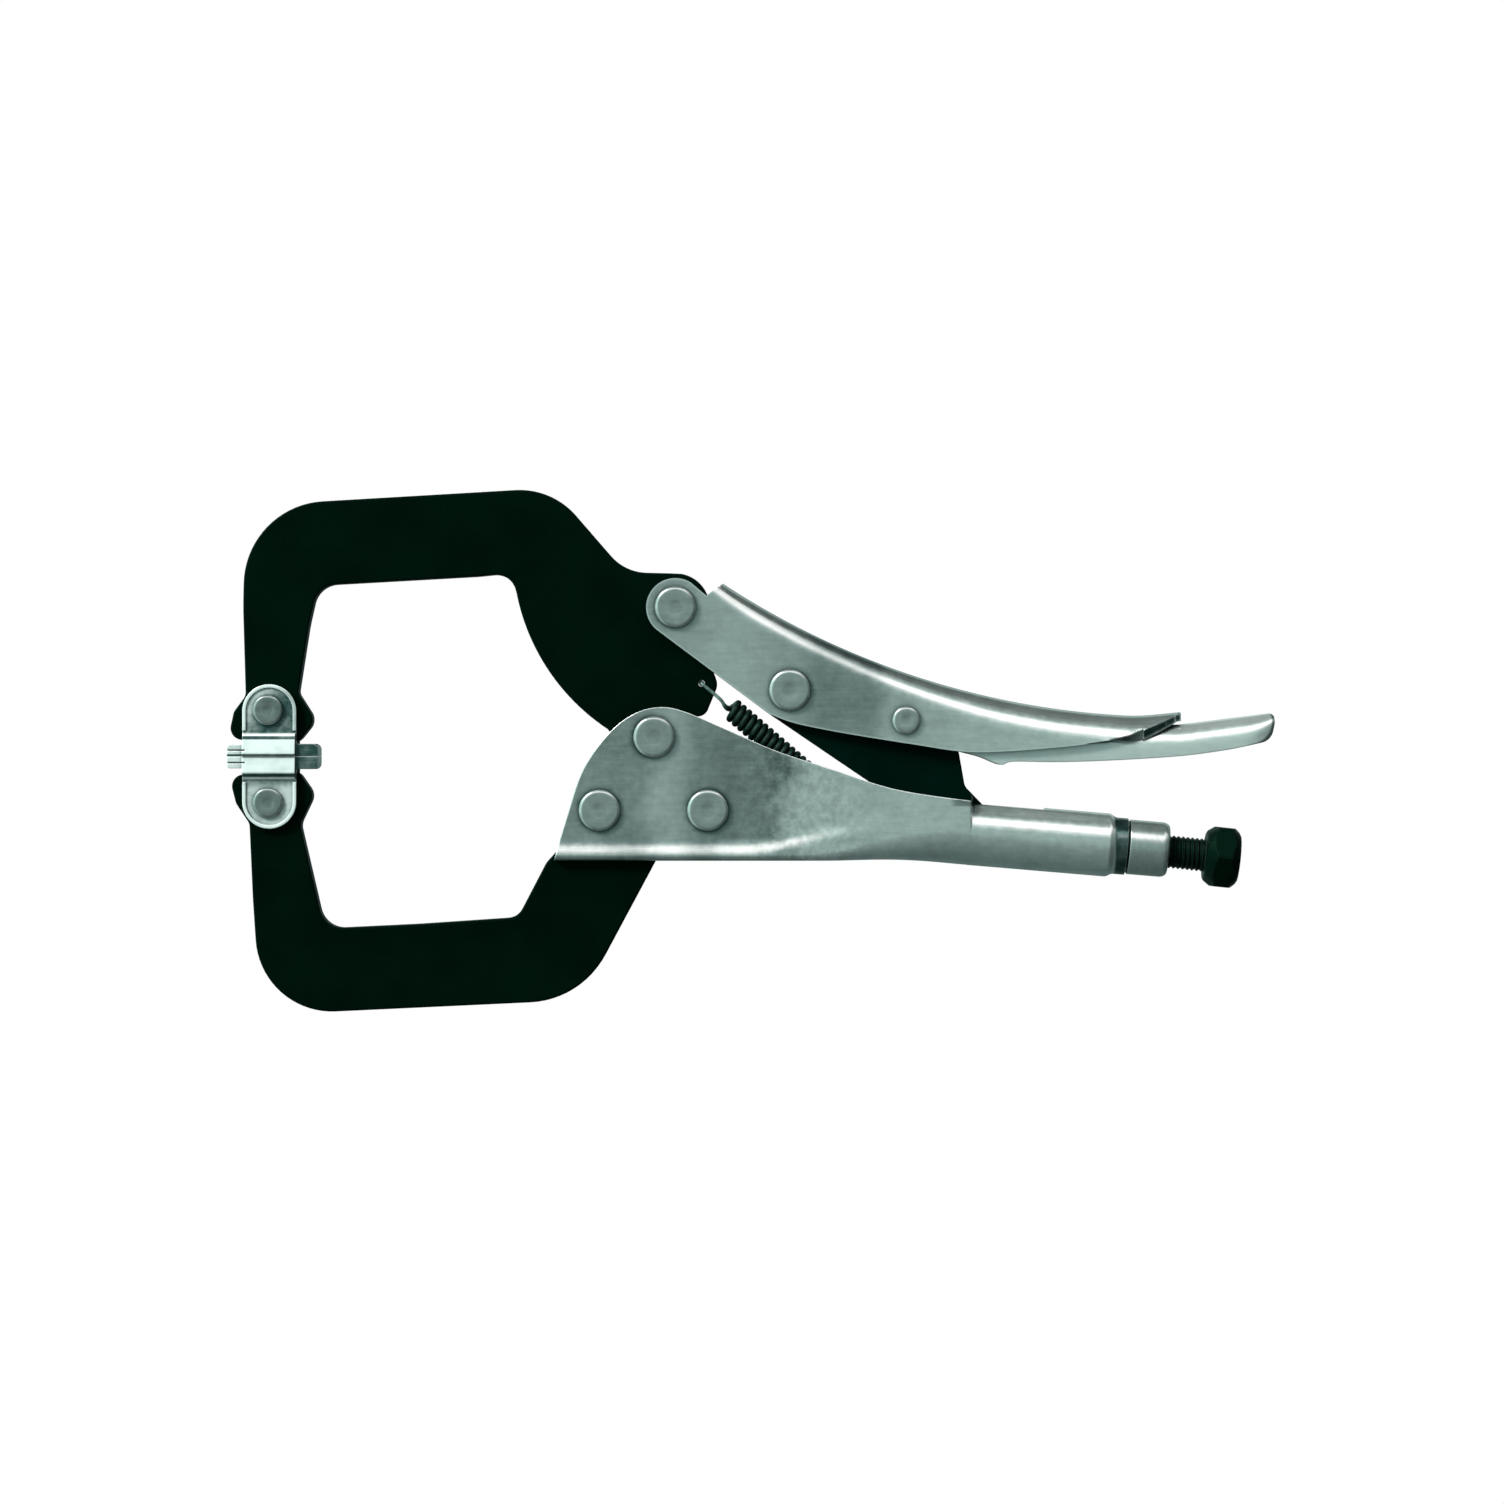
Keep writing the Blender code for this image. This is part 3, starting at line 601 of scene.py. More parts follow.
def pad_tone(look, clouds, mottle):
    """Painted highlight on the bend with painted shade in its creases, ears darker towards the handles,
    painted highlights on the raised rims and painted shadow on the rear wing.
    """
    side = look.math("ABSOLUTE", look.z)

    def line(value, place, half_width, strength):
        away = look.math("ABSOLUTE", look.minus(value, place))
        return look.span(away, half_width, 0.5 * half_width, 0.0, strength)

    # Painted highlight: the bend between the ears and the face is made near white.
    bend = look.times(look.span(side, 6.6, 6.0), look.span(look.x, 7.4, 7.1))
    # Painted shade in the creases: the gap between the pads, lines at the ear's foot, the slope beside it and
    # the front wing.
    creases = [line(look.z, 0.3, 0.45, 0.9), line(side, 5.0, 0.6, 0.9), line(side, 6.4, 0.35, 0.8)]
    creases += [look.span(side, 4.8, 5.3, 0.0, 0.3), look.span(look.x, -6.7, -6.9, 0.0, 0.1)]
    light = 0.98
    for crease in creases:
        light = look.minus(light, crease)
    light = look.times(bend, look.math("MAXIMUM", light, 0.0))
    slant = look.plus(look.x, look.times(look.z, -0.8))
    upper = look.span(slant, -17.0, -6.5, 0.90, 0.12)
    lower = look.span(look.z, -6.5, -9.0, 0.34, 0.84)
    ear = look.times(look.span(look.z, -1.0, 1.0), upper)
    ear = look.plus(ear, look.times(look.span(look.z, 1.0, -1.0), lower))
    ear = look.minus(ear, look.span(mottle, 0.42, 0.66, 0.0, 0.24))
    ear = look.times(ear, look.span(side, 6.0, 6.4))
    # Painted shadow: the rear wing keeps only this faint lift and stays nearly dark.
    wing = look.span(look.x, 7.2, 7.5, 0.0, 0.06)
    # Painted highlight on the raised rims of the ears.
    raised = look.times(look.span(look.math("ABSOLUTE", look.y), 5.9, 6.1), look.span(side, 6.6, 6.9))
    for part in (look.times(raised, 0.42), ear, wing):
        light = look.plus(light, part)
    return light


def dull_rivet(name, pivot, radius, seed, level):
    """A rivet head: even dull plating, a faint turned ring and a darker middle."""

    def tone(look, clouds, mottle):
        away = look.distance(look.minus(look.x, pivot[0]), look.minus(look.z, pivot[1]))
        stops = [(0.0, 0.42), (0.3, 0.44), (0.38, 0.50), (0.7, 0.46), (0.93, 0.50), (1.0, 0.55)]
        return look.plus(look.ramp(look.math("DIVIDE", away, radius), stops), level)

    return plated_steel(name, tone, blotch=0.34, seed=seed, rim=0.1)


def blackened(name, colour, seed=0.0, worn=0.10, rough=(0.38, 0.55)):
    """Satin black oxide: faint cloudiness, fine grain, and thin paler wear along the sheared edges."""
    look = Look(name)
    clouds = look.noise(18.0, 3.0, 0.55, seed=seed)
    grain = look.noise(0.45, 4.0, 0.7, seed=seed + 2.0)
    scuffs = look.noise(3.0, 5.0, 0.7, seed=seed + 4.0)
    edge, soft = look.edges(0.5)
    body = look.mix(look.span(clouds, 0.3, 0.7), (*colour, 1), (*(1.7 * c for c in colour), 1))
    wear = look.times(edge, look.span(scuffs, 0.35, 0.7, 0.3 * worn, worn))
    tint = look.mix(wear, body, (0.55, 0.62, 0.59, 1))
    shine = look.span(grain, 0.3, 0.7, *rough)
    height = look.plus(grain, look.times(scuffs, 0.5))
    normal = look.bump(height, 0.2, 0.04, soft)
    satin = {"Specular_IOR_Level": 0.065, "Specular_Tint": (0.15, 1.0, 0.55, 1)}
    return look.finish(Base_Color=tint, Metallic=0.0, Roughness=shine, Normal=normal, **satin)


def spring_steel(name, colour, metallic, rough):
    look = Look(name)
    grain = look.noise(0.6, 3.0, 0.6)
    streaks = look.noise(1.6, 3.0, 0.6, seed=4.0)
    tint = look.mix(look.span(streaks, 0.35, 0.7), (*colour, 1), (*(min(1.0, 2.2 * c) for c in colour), 1))
    shine = look.span(grain, 0.3, 0.7, rough - 0.08, rough + 0.1)
    normal = look.bump(grain, 0.15, 0.02)
    return look.finish(Base_Color=tint, Metallic=metallic, Roughness=shine, Normal=normal)


# Jaws ------------

THROAT_CENTRE = (122.3, 54.8)
THROAT_RADIUS = 57.0
ARM_EDGE = 0.55
OXIDE = (0.0001, 0.0020, 0.0010)


def moving_jaw_outline():
    """From the lower left of the tip, clockwise: back, top, ear, rear lobe, hub, throat and inner window."""
    back = rounded(
        [(-4.0, 3.9, 0), (-10.9, 5.0, 3.2), (-9.4, 12.0, 3.0), (-6.2, 16.3, 3.0), (-6.9, 40.0, 60.0)]
        + [(-6.3, 67.2, 22.5), (75.9, 72.0, 20.0), (95.5, 49.4, 13.0), (107.5, 49.1, 0)]
    )
    ear = arc(HANDLE_PIVOT, 9.2, 80, 0)
    lobe = rounded(
        [(118.4, 30.0, 0), (118.3, 25.2, 3.0), (120.4, 19.3, 4.0), (117.0, 11.0, 3.0), (112.4, 10.4, 0)]
    )
    hub = arc(MAIN_PIVOT, 8.6, 20, -150)
    throat = arc(THROAT_CENTRE, THROAT_RADIUS, 236.5, 191.5, math.radians(2))
    window = rounded(
        [(66.6, 43.0, 0), (64.9, 49.2, 5.5), (56.0, 48.3, 30.0), (13.2, 45.9, 6.5), (10.8, 35.5, 30.0)]
        + [(7.9, 17.0, 2.5), (12.6, 9.6, 3.8), (8.0, 3.9, 3.0), (3.0, 3.9, 0)]
    )
    return back + ear + lobe + hub + throat + window


def moving_jaw_arm():
    jaw = plate("moving_jaw", moving_jaw_outline(), ARM_HALF, ARM_EDGE)
    cuts = [hole(pivot, RIVET_BORE) for pivot in (MAIN_PIVOT, HANDLE_PIVOT)]
    carved(jaw, cuts + [hole(UPPER_PAD_PIVOT, PAD_BORE), hole(HOOK_HOLE, HOOK_HOLE_RADIUS)])
    finished(jaw, "moving_jaw", "moving_jaw_arm", blackened("oxide_moving_jaw", OXIDE, 1.0))


def fixed_jaw_outline():
    """From the upper left of the tip, anticlockwise: back, foot, slope, hidden root and inner window."""
    return rounded(
        [(-4.0, -4.1, 0), (-10.6, -5.6, 3.2), (-8.8, -12.6, 3.0), (-5.2, -18.0, 3.0), (-4.3, -38.0, 60.0)]
        + [(-2.2, -69.3, 20.5), (83.7, -65.3, 24.0), (103.9, -27.6, 6.0), (108.5, -20.9, 3.0)]
        + [(125.5, -20.9, 6.0), (125.5, -7.6, 6.0), (84.9, -7.6, 4.0), (80.6, -21.5, 5.0)]
        + [(74.4, -28.4, 5.0), (66.7, -43.2, 5.0), (40.0, -45.0, 60.0), (14.9, -46.2, 6.5), (8.4, -18.2, 4.0)]
        + [(12.2, -10.2, 3.8), (8.0, -4.1, 3.0)]
    )


def fixed_jaw_arm():
    jaw = plate("fixed_jaw", fixed_jaw_outline(), ARM_HALF, ARM_EDGE)
    cuts = [hole(pivot, RIVET_BORE) for pivot in (FRONT_RIVET, REAR_RIVET)]
    carved(jaw, cuts + [hole(LOWER_PAD_PIVOT, PAD_BORE)])
    finished(jaw, "fixed_handle", "fixed_jaw_arm", blackened("oxide_fixed_jaw", OXIDE, 6.0))


# Swivel pads ------------

EAR_CENTRE = (0.4, 12.1)
EAR_RADIUS = 7.2
RIM_INNER_RADIUS = 6.3
RIM_FOOT = 6.9
RIM_HEIGHT = 0.7
WING_DEPTH = 5.6
GROOVE_DEPTH = 5.0


def pad_section(side, face):
    """The pad's section across the clamp: ears, a bead that catches the light, and the clamping face."""
    inner = ARM_HALF + 2 * GAP
    outer = [(PAD_EAR_HALF, 22.0, 0), (PAD_EAR_HALF, 6.5, 0.3), (6.5, 5.1, 0.3)]
    if side > 0:
        outer += [(6.4, 4.7, 0.3), (7.2, 0.8, 0.5), (6.9, face, 0)]
    else:
        outer += [(7.2, 4.4, 0.6), (6.4, face, 0)]
    corners = [(0.0, 3.0, 0), (inner, 3.0, 0.4), (inner, 22.0, 0)] + outer + [(0.0, face, 0)]
    half = [(y, z) for y, z in rounded(corners, math.radians(10)) if y > 0]
    return half + [(-y, z) for y, z in reversed(half)]


def swivel_pad(name, pivot, side, face, body):
    """A pressed pad: a face plate with two ears folded away from it, each ear with a raised rim.
    side is +1 for the upper pad, -1 for the lower one, and face is how far its face lies from the origin."""
    section = pad_section(side, face)
    pad = placed(name, lofted([[(x, y, side * z) for y, z in section] for x in (-14.0, 16.0)]))
    arch = arc(EAR_CENTRE, EAR_RADIUS, 0, 180)
    foot = rounded(
        [(-6.8, 3.2, 0), (-11.0, 3.2, 0.8), (-11.0, -1.0, 0), (13.4, -1.0, 0)]
        + [(13.4, 3.4, 1.5), (7.6, 3.4, 0)]
    )
    steps = [("INTERSECT", slab("pad_outline", [(x, side * z) for x, z in arch + foot]))]
    left = [(EAR_CENTRE[0] - radius, RIM_FOOT) for radius in (EAR_RADIUS, RIM_INNER_RADIUS)]
    right = [(EAR_CENTRE[0] + radius, RIM_FOOT) for radius in (RIM_INNER_RADIUS, EAR_RADIUS)]
    band = arch + left + arc(EAR_CENTRE, RIM_INNER_RADIUS, 180, 0) + right
    band = [(x, side * z) for x, z in band]
    for low in (-PAD_EAR_HALF - 0.5, PAD_EAR_HALF - 0.2):
        steps.append(("UNION", slab("rim", band, low, low + RIM_HEIGHT)))
    groove = rectangle((-20.0, -6.0), (side * 1.5, side * 1.85))
    for sign in (-1, 1):
        for ends in ((-20.0, -6.9), (7.3, 20.0)):
            wing = rectangle(ends, (-6.0, 6.0))
            steps.append(("DIFFERENCE", slab("recess", wing, sign * WING_DEPTH, sign * 9.0)))
        steps.append(("DIFFERENCE", slab("groove", groove, sign * GROOVE_DEPTH, sign * 9.0)))
    steps.append(hole(pivot, PAD_BORE))
    carved(pad, steps)
    node = name.replace("pad_cap", "swivel_pad")
    look = plated_steel(f"plating_{name}", pad_tone, blotch=0.5, seed=2.0 + side, rim=0.4, metal=0.6)
    finished(pad, body, node, look, 28)


# Fixed handle body ------------

CHANNEL_CORNER = 1.6
CHANNEL_FLOOR = -27.9
BODY_FRONT = 74.0
BODY_LOFT_END = 187.2
ROUNDING_START = 142.0
ROUNDING_END = 187.0
WALL_STEPS = 36
WALL_REACH = 22.0


def body_section(x):
    """The body at x: tube axis height, half width, bottom below that axis and lower corner radius."""
    axis = AXIS_START[1] - (x - AXIS_START[0]) * math.tan(AXIS_DROP)
    half = between(x, ROUNDING_START, ROUNDING_END, CHANNEL_HALF, TUBE_RADIUS)
    low_radius = between(x, ROUNDING_START, ROUNDING_END, CHANNEL_CORNER, TUBE_RADIUS)
    bottom = between(x, 150.0, ROUNDING_END, CHANNEL_FLOOR - axis, -TUBE_RADIUS)
    return axis, half, bottom, low_radius


def bulged(ring, x, floor):
    """The ring with its side walls swelling outwards just above the floor, as the tube's round form fades."""
    swell = between(x, 136.0, 170.0, 1.35, 0.0)
    lift = between(x, 128.0, 164.0, 0.0, 6.5)
    found = []
    for px, y, z in ring:
        share = min(1.0, max(0.0, (5.2 + lift - z + floor) / 4.2))
        out = swell * (0.3 * share + 0.7 * between(share, 0.0, 1.0, 0.0, 1.0))
        found.append((px, y + math.copysign(out, y) if abs(y) > 1.0 else y, z))
    return found


def body_rings(inset):
    """Rings of the body's outer surface, or of its hollow when inset is the sheet's thickness."""
    rings = []
    extra = 6.0 if inset else 0.0
    for x in [BODY_FRONT - extra] + spaced(100.0, 126.0, 13.0) + spaced(129.0, BODY_LOFT_END, 2.1):
        axis, half, bottom, low_radius = body_section(x)
        top = 30.0 + extra - axis
        corner = max(0.5, low_radius - inset)
        ring = box_ring(x, axis, 0, half - inset, bottom + inset, top, corner, 1.0)
        low = axis + bottom + inset + corner
        high = axis + bottom + WALL_REACH
        heights = [low + (high - low) * (k + 1) / WALL_STEPS for k in range(WALL_STEPS)]
        left = [(x, inset - half, z) for z in reversed(heights)]
        right = [(x, half - inset, z) for z in heights]
        middle = len(ring) // 2
        rings.append(bulged(ring[:middle] + left + ring[middle:] + right, x, axis + bottom))
    slope_start = CRIMP_START - 1.2
    slope_end = CRIMP_START + 1.0
    stations = [(-2.6, TUBE_RADIUS), (slope_start, TUBE_RADIUS)]
    for share in (0.25, 0.5, 0.75):
        radius = TUBE_RADIUS - between(share, 0.0, 1.0, 0.0, CRIMP_DEPTH)
        stations.append((slope_start + (slope_end - slope_start) * share, radius))
    crimped = TUBE_RADIUS - CRIMP_DEPTH
    stations += [(slope_end, crimped), (CRIMP_END + extra, crimped)]
    for distance, radius in stations:
        x, _, z = tube_axis(distance)
        reach = radius - inset
        ring = box_ring(x, z, -AXIS_DROP, reach, -reach, reach, reach, reach)
        middle = len(ring) // 2
        rings.append(ring[:middle] + [ring[middle]] * WALL_STEPS + ring[middle:] + [ring[-1]] * WALL_STEPS)
    return rings


def body_outline():
    """The side walls' front and top edges; the box round the tube and below the floor cuts nothing."""
    edge = smooth(
        [(76.6, -27.7), (79.9, -16.5), (84.4, -3.4), (91.6, 6.6), (98.6, 11.7), (105.3, 13.2), (112.0, 11.8)]
        + [(123.0, 7.1), (136.0, 1.5), (150.0, -3.1), (168.0, -8.8), (188.4, -11.9)]
    )
    return edge + [(188.6, -6.0), (240.0, -6.0), (240.0, -45.0), (76.6, -45.0)]


def fixed_handle_body():
    body = placed("fixed_handle", lofted(body_rings(0)))
    x, z = SPRING_ANCHOR
    top = z + 2.6
    tab = rounded([(x - 4.0, -27.0, 0), (x - 2.6, top, 2.2), (x + 2.6, top, 2.2), (x + 4.0, -27.0, 0)])
    steps = [
        ("INTERSECT", slab("body_outline", body_outline())),
        ("DIFFERENCE", placed("body_hollow", lofted(body_rings(SHEET)))),
        ("DIFFERENCE", block("front_slot", (70.0, 105.6), (-40.0, -20.0), ARM_HALF + GAP)),
        ("DIFFERENCE", block("seam_slot", (183.0, 208.0), (-16.0, 0.0), LINK_HALF + GAP)),
    ]
    steps += [hole(pivot, RIVET_BORE) for pivot in (MAIN_PIVOT, FRONT_RIVET, REAR_RIVET)]
    steps.append(("UNION", slab("spring_tab", tab, -0.8, 0.8)))
    steps.append(hole(SPRING_ANCHOR, 1.4, 1.6))
    carved(body, steps)
    look = plated_steel("plating_fixed_handle", body_tone, blotch=0.46, seed=0.0, rim=0.9)
    finished(body, "fixed_handle", "fixed_handle_body", look)


def threaded_end_nut():
    """A stepped bush: a plug held by the crimp in the tube's end, and a collar outside it."""
    plug = TUBE_RADIUS - SHEET - GAP
    groove = plug - CRIMP_DEPTH
    bore = SCREW_RADIUS + SCREW_PLAY
    collar = CRIMP_END + GAP
    chamfer = 0.4
    profile = [(NUT_START, plug), (CRIMP_START - 0.8, plug), (CRIMP_START - 0.1, groove), (collar, groove)]
    profile += [(collar, NUT_RADIUS - chamfer), (collar + chamfer, NUT_RADIUS)]
    for a in spaced(0, 1.57, 0.2):
        profile.append((NUT_END - 2.0 * (1 - math.sin(a)), NUT_RADIUS - 1.3 * (1 - math.cos(a))))
    profile += [(NUT_END, bore + 0.5), (NUT_END - 0.5, bore), (NUT_START, bore)]
    start = (AXIS_START[0], 0, AXIS_START[1])
    nut = placed("end_nut", lofted(turned_rings(profile, start, AXIS_DIRECTION, 72), capped=False))
    look = plated_steel("plating_end_nut", None, 0.55, 0.3, 9.0, brushed=(1.0, 0.2, 0.2))
    finished(nut, "fixed_handle", "threaded_end_nut", look)


def hexagon(most):
    """Reach of the head's hexagon at an angle, held within a circle of radius most."""

    def reach(angle):
        from_middle = (angle % (math.pi / 3)) - math.pi / 6
        return min(most, HEAD_ACROSS_FLATS / 2 / math.cos(from_middle))

    return reach


def threaded(distance):
    """Radius of a right-hand V thread at this distance along the screw, as a function of angle."""

    def reach(angle):
        turn = (distance / THREAD_PITCH - angle / (2 * math.pi)) % 1.0
        return SCREW_RADIUS - THREAD_DEPTH * abs(2 * turn - 1)

    return reach


def adjusting_screw():
    """The screw hangs slightly lower at its head, by its play in the nut, tilted about the nut's middle."""
    profile = [(SCREW_TIP, SCREW_RADIUS - 1.4), (SCREW_TIP + 0.8, SCREW_RADIUS - THREAD_DEPTH)]
    profile += [(d, threaded(d)) for d in spaced(SCREW_TIP + 1.2, HEAD_START - 0.6, THREAD_PITCH / 8)]
    profile += [(HEAD_START - 0.4, SCREW_RADIUS - 0.2), (HEAD_START, SCREW_RADIUS - 0.1)]
    head = [(HEAD_START, 6.3), (HEAD_START + 0.3, 6.8), (HEAD_START + 2.1, 8.1), (HEAD_START + 2.8, 9.0)]
    head += [(HEAD_END - 2.4, 9.0), (HEAD_END - 1.6, 8.0), (HEAD_END - 0.5, 7.0), (HEAD_END, 6.2)]
    profile += [(distance, hexagon(most)) for distance, most in head]
    drop = AXIS_DROP + SCREW_SAG
    direction = (math.cos(drop), 0, -math.sin(drop))
    start = tuple(m - SAG_CENTRE * d for m, d in zip(tube_axis(SAG_CENTRE), direction))
    screw = placed("adjusting_screw_threaded", lofted(turned_rings(profile, start, direction, 60)))
    look = blackened("oxide_screw", (0.0004, 0.0030, 0.0018), 3.0, 0.05, (0.22, 0.4))
    finished(screw, "adjusting_screw", "adjusting_screw", look, 26)


# Toggle handle ------------

HANDLE_CURVE_CENTRE = (241.3, 228.7)
HANDLE_CURVE_RADIUS = 218.0
TAIL_FLICK = 1.3


def handle_top(x):
    """Height of the toggle handle's upper surface: an arc whose tail flicks up."""
    below_centre = math.sqrt(HANDLE_CURVE_RADIUS**2 - (x - HANDLE_CURVE_CENTRE[0]) ** 2)
    return HANDLE_CURVE_CENTRE[1] - below_centre + between(x, 230.0, 248.0, 0.0, TAIL_FLICK)


def handle_half(x):
    """Half width of the toggle handle."""
    return between(x, 150.0, 205.0, CHANNEL_HALF, TUBE_RADIUS)


def handle_rings(inset):
    rings = []
    extra = 8.0 if inset else 0.0
    for x in [98.0 - extra] + spaced(110.0, 246.0, 2.4) + [248.0 + extra]:
        half = handle_half(x) - inset
        slope = math.atan(abs(x - HANDLE_CURVE_CENTRE[0]) / HANDLE_CURVE_RADIUS)
        top = handle_top(x) - inset / math.cos(slope)
        radius = between(x, 108.0, 150.0, 5.0, TUBE_RADIUS) - inset
        rings.append(box_ring(x, 0, 0, half, -30.0 - extra, top, 1.0, min(radius, half)))
    return rings


HANDLE_REAR_EDGE = [(247.0, 13.8), (243.6, 11.4), (238.8, 9.1), (233.5, 7.0), (228.0, 5.0), (213.0, 2.6)]
TAIL_START = 219.0
TAIL_END = 246.8
TAIL_LEAN = 32.0


def handle_outline():
    """From under the front ear, clockwise: ear, notch, over the top, rear end and lower edge."""
    ear = arc(HANDLE_PIVOT, 7.8, 234, 58)
    top = [(117.3, 43.0), (122.0, 46.6), (122.0, 60.0), (244.5, 60.0), (244.5, 0.0), (219.0, 0.0)]
    lower = smooth(
        [(219.0, 3.3), (213.0, 2.6), (198.0, 1.4), (186.0, 1.3), (172.3, 3.3)]
        + [(157.8, 5.6), (146.8, 7.6), (139.6, 9.3), (134.0, 11.5)]
    )
    return ear + top + lower


def tail_cutter():
    """The space below the handle's oblique rear edge. Its cut is square to the curved sheet in front, and
    falls by up to TAIL_LEAN more from the sheet to the middle plane behind, which shows the sheet's edge."""
    edge = smooth(HANDLE_REAR_EDGE, 12)
    rings = []
    for x in spaced(TAIL_START, TAIL_END, 0.6):
        after = max((p for p in edge if p[0] <= x), key=lambda p: p[0])
        before = min((p for p in edge if p[0] > x), key=lambda p: p[0])
        z = after[1] + (before[1] - after[1]) * (x - after[0]) / (before[0] - after[0])
        axis = handle_top(x) - TUBE_RADIUS
        lean = math.asin(min(0.94, max(0.0, (z - axis) / TUBE_RADIUS)))
        y = 2 * TUBE_RADIUS * math.cos(lean)
        drop = between(x, 224.0, 241.0, 0.0, TAIL_LEAN)
        high = axis + 2 * TUBE_RADIUS * math.sin(lean) + drop
        side = [(y, high), (CUTTER_HALF + 1.0, high), (CUTTER_HALF + 1.0, -40.0)]
        side += [(-y, z) for y, z in reversed(side)]
        rings.append([(x, 0, axis - drop)] + [(x, y, z) for y, z in side])
    return placed("tail_cutter", lofted(rings))


def upper_handle_lever():
    lever = placed("upper_handle_channel", lofted(handle_rings(0)))
    steps = [
        ("INTERSECT", slab("handle_outline", handle_outline())),
        ("DIFFERENCE", placed("handle_hollow", lofted(handle_rings(SHEET)))),
        ("DIFFERENCE", block("front_gap", (90.0, 121.0), (10.0, 70.0), CHANNEL_HALF - SHEET)),
        ("DIFFERENCE", tail_cutter()),
        hole(HANDLE_PIVOT, RIVET_BORE),
        hole(TOGGLE_PIVOT, RIVET_BORE),
        hole(RELEASE_PIVOT, RELEASE_BORE),
    ]
    carved(lever, steps)
    look = plated_steel("plating_upper_handle", handle_tone, blotch=0.36, seed=11.0, rim=0.9, crisp=True)
    finished(lever, "upper_handle", "upper_handle_lever", look)


def toggle_link():
    """From below the toggle pivot, clockwise: head, upper edge, hump, rounded tail and lower edge."""
    head = arc(TOGGLE_PIVOT, 8.3, 236, 54)
    tail = arc(LINK_TAIL, 3.1, 15, -144)
    back = rounded(
        [(150.0, 17.8, 0), (169.5, 4.8, 6.0), (184.8, 2.2, 2.0), (186.6, -8.0, 3.0)]
        + [(193.0, -14.6, 8.0), (196.0, -20.0, 0)]
    )
    under = [(175.0, -15.2), (163.0, -8.2), (150.0, 0.6)]
    link = plate("toggle_link_plate", head + back[1:-1] + tail + under, LINK_HALF, 0.45)
    carved(link, [hole(TOGGLE_PIVOT, RIVET_BORE)])
    look = blackened("oxide_link", (0.0002, 0.0034, 0.0024), 8.0, 0.06)
    finished(link, "toggle_link", "toggle_link", look)


def toggle_spacer(name, side):
    """A washer between the toggle link and one wall of the handle."""
    play = 0.2
    chamfer = 0.2
    outer = 5.0
    low = LINK_HALF + play
    high = CHANNEL_HALF - SHEET - play
    profile = [(low, RIVET_BORE), (low, outer - chamfer), (low + chamfer, outer)]
    profile += [(high - chamfer, outer), (high, outer - chamfer), (high, RIVET_BORE)]
    profile = [(side * distance, radius) for distance, radius in profile]
    rings = turned_rings(profile, (TOGGLE_PIVOT[0], 0, TOGGLE_PIVOT[1]), (0, 1, 0), 48)
    washer = placed(f"{name}_washer", lofted(rings, capped=False))
    look = plated_steel(f"plating_{name}", None, 0.4, 0.2, 14.0)
    finished(washer, "toggle_link", name, look)


# Release lever ------------

RELEASE_SHEET = 1.1
RELEASE_CLEARANCE = 0.6


def release_top(x):
    """Height of the release lever's upper surface: low in front, close under the handle, free at its tail."""
    under = handle_top(x) - between(x, 185.0, 222.0, 6.4, 2.6)
    free = 8.6 + 0.127 * (x - 244.7)
    return between(x, 236.0, 246.0, under, free)


def release_rings(inset):
    rings = []
    extra = 6.0 if inset else 0.0
    for x in [153.0 - extra] + spaced(160.0, 259.0, 3.0) + spaced(260.0, 269.0, 1.0) + [269.7 + extra]:
        narrowing = math.sqrt(1 - 0.72 * min(1.0, max(0.0, (x - 260.0) / 10.0)) ** 2)
        half = (handle_half(x) - SHEET - RELEASE_CLEARANCE) * narrowing - inset
        top = release_top(x) - inset
        radius = between(x, 160.0, 200.0, 2.2, 6.1) - inset
        rings.append(box_ring(x, 0, 0, half, -30.0 - extra, top, 1.0, min(radius, half)))
    return rings


def release_outline():
    """Clockwise from the hidden front end, over the top, round the tail and back along the lower edge."""
    lower = smooth(
        [(261.0, 2.6), (255.0, 1.5), (244.0, 0.1), (227.0, -1.0), (212.0, -1.5), (199.5, -1.4), (196.0, -2.2)]
        + [(190.5, -0.1), (184.5, 1.5), (176.0, 4.4)]
    )
    rest = rounded(
        [(165.0, 6.4, 0), (157.0, 7.4, 3.0), (157.0, 40.0, 0), (267.2, 40.0, 0), (267.4, 11.8, 0)]
        + [(269.5, 11.3, 1.3), (269.6, 9.0, 0), (268.6, 4.3, 4.2), (261.0, 2.6, 0)]
    )
    return rest[:-1] + lower


def release_lever():
    lever = placed("release_tongue", lofted(release_rings(0)))
    steps = [
        ("INTERSECT", slab("release_outline", release_outline())),
        ("DIFFERENCE", placed("release_hollow", lofted(release_rings(RELEASE_SHEET)))),
        hole(RELEASE_PIVOT, RELEASE_BORE),
    ]
    carved(lever, steps)
    # rim below zero paints shade along the lever's edges.
    look = plated_steel("plating_release", release_tone, blotch=0.22, seed=17.0, rim=-0.9, metal=0.8)
    finished(lever, "release_lever", "release_lever", look)


# Rivets ------------

RIVET_SIDES = 64
PAD_RIVET_DIMMING = -0.12


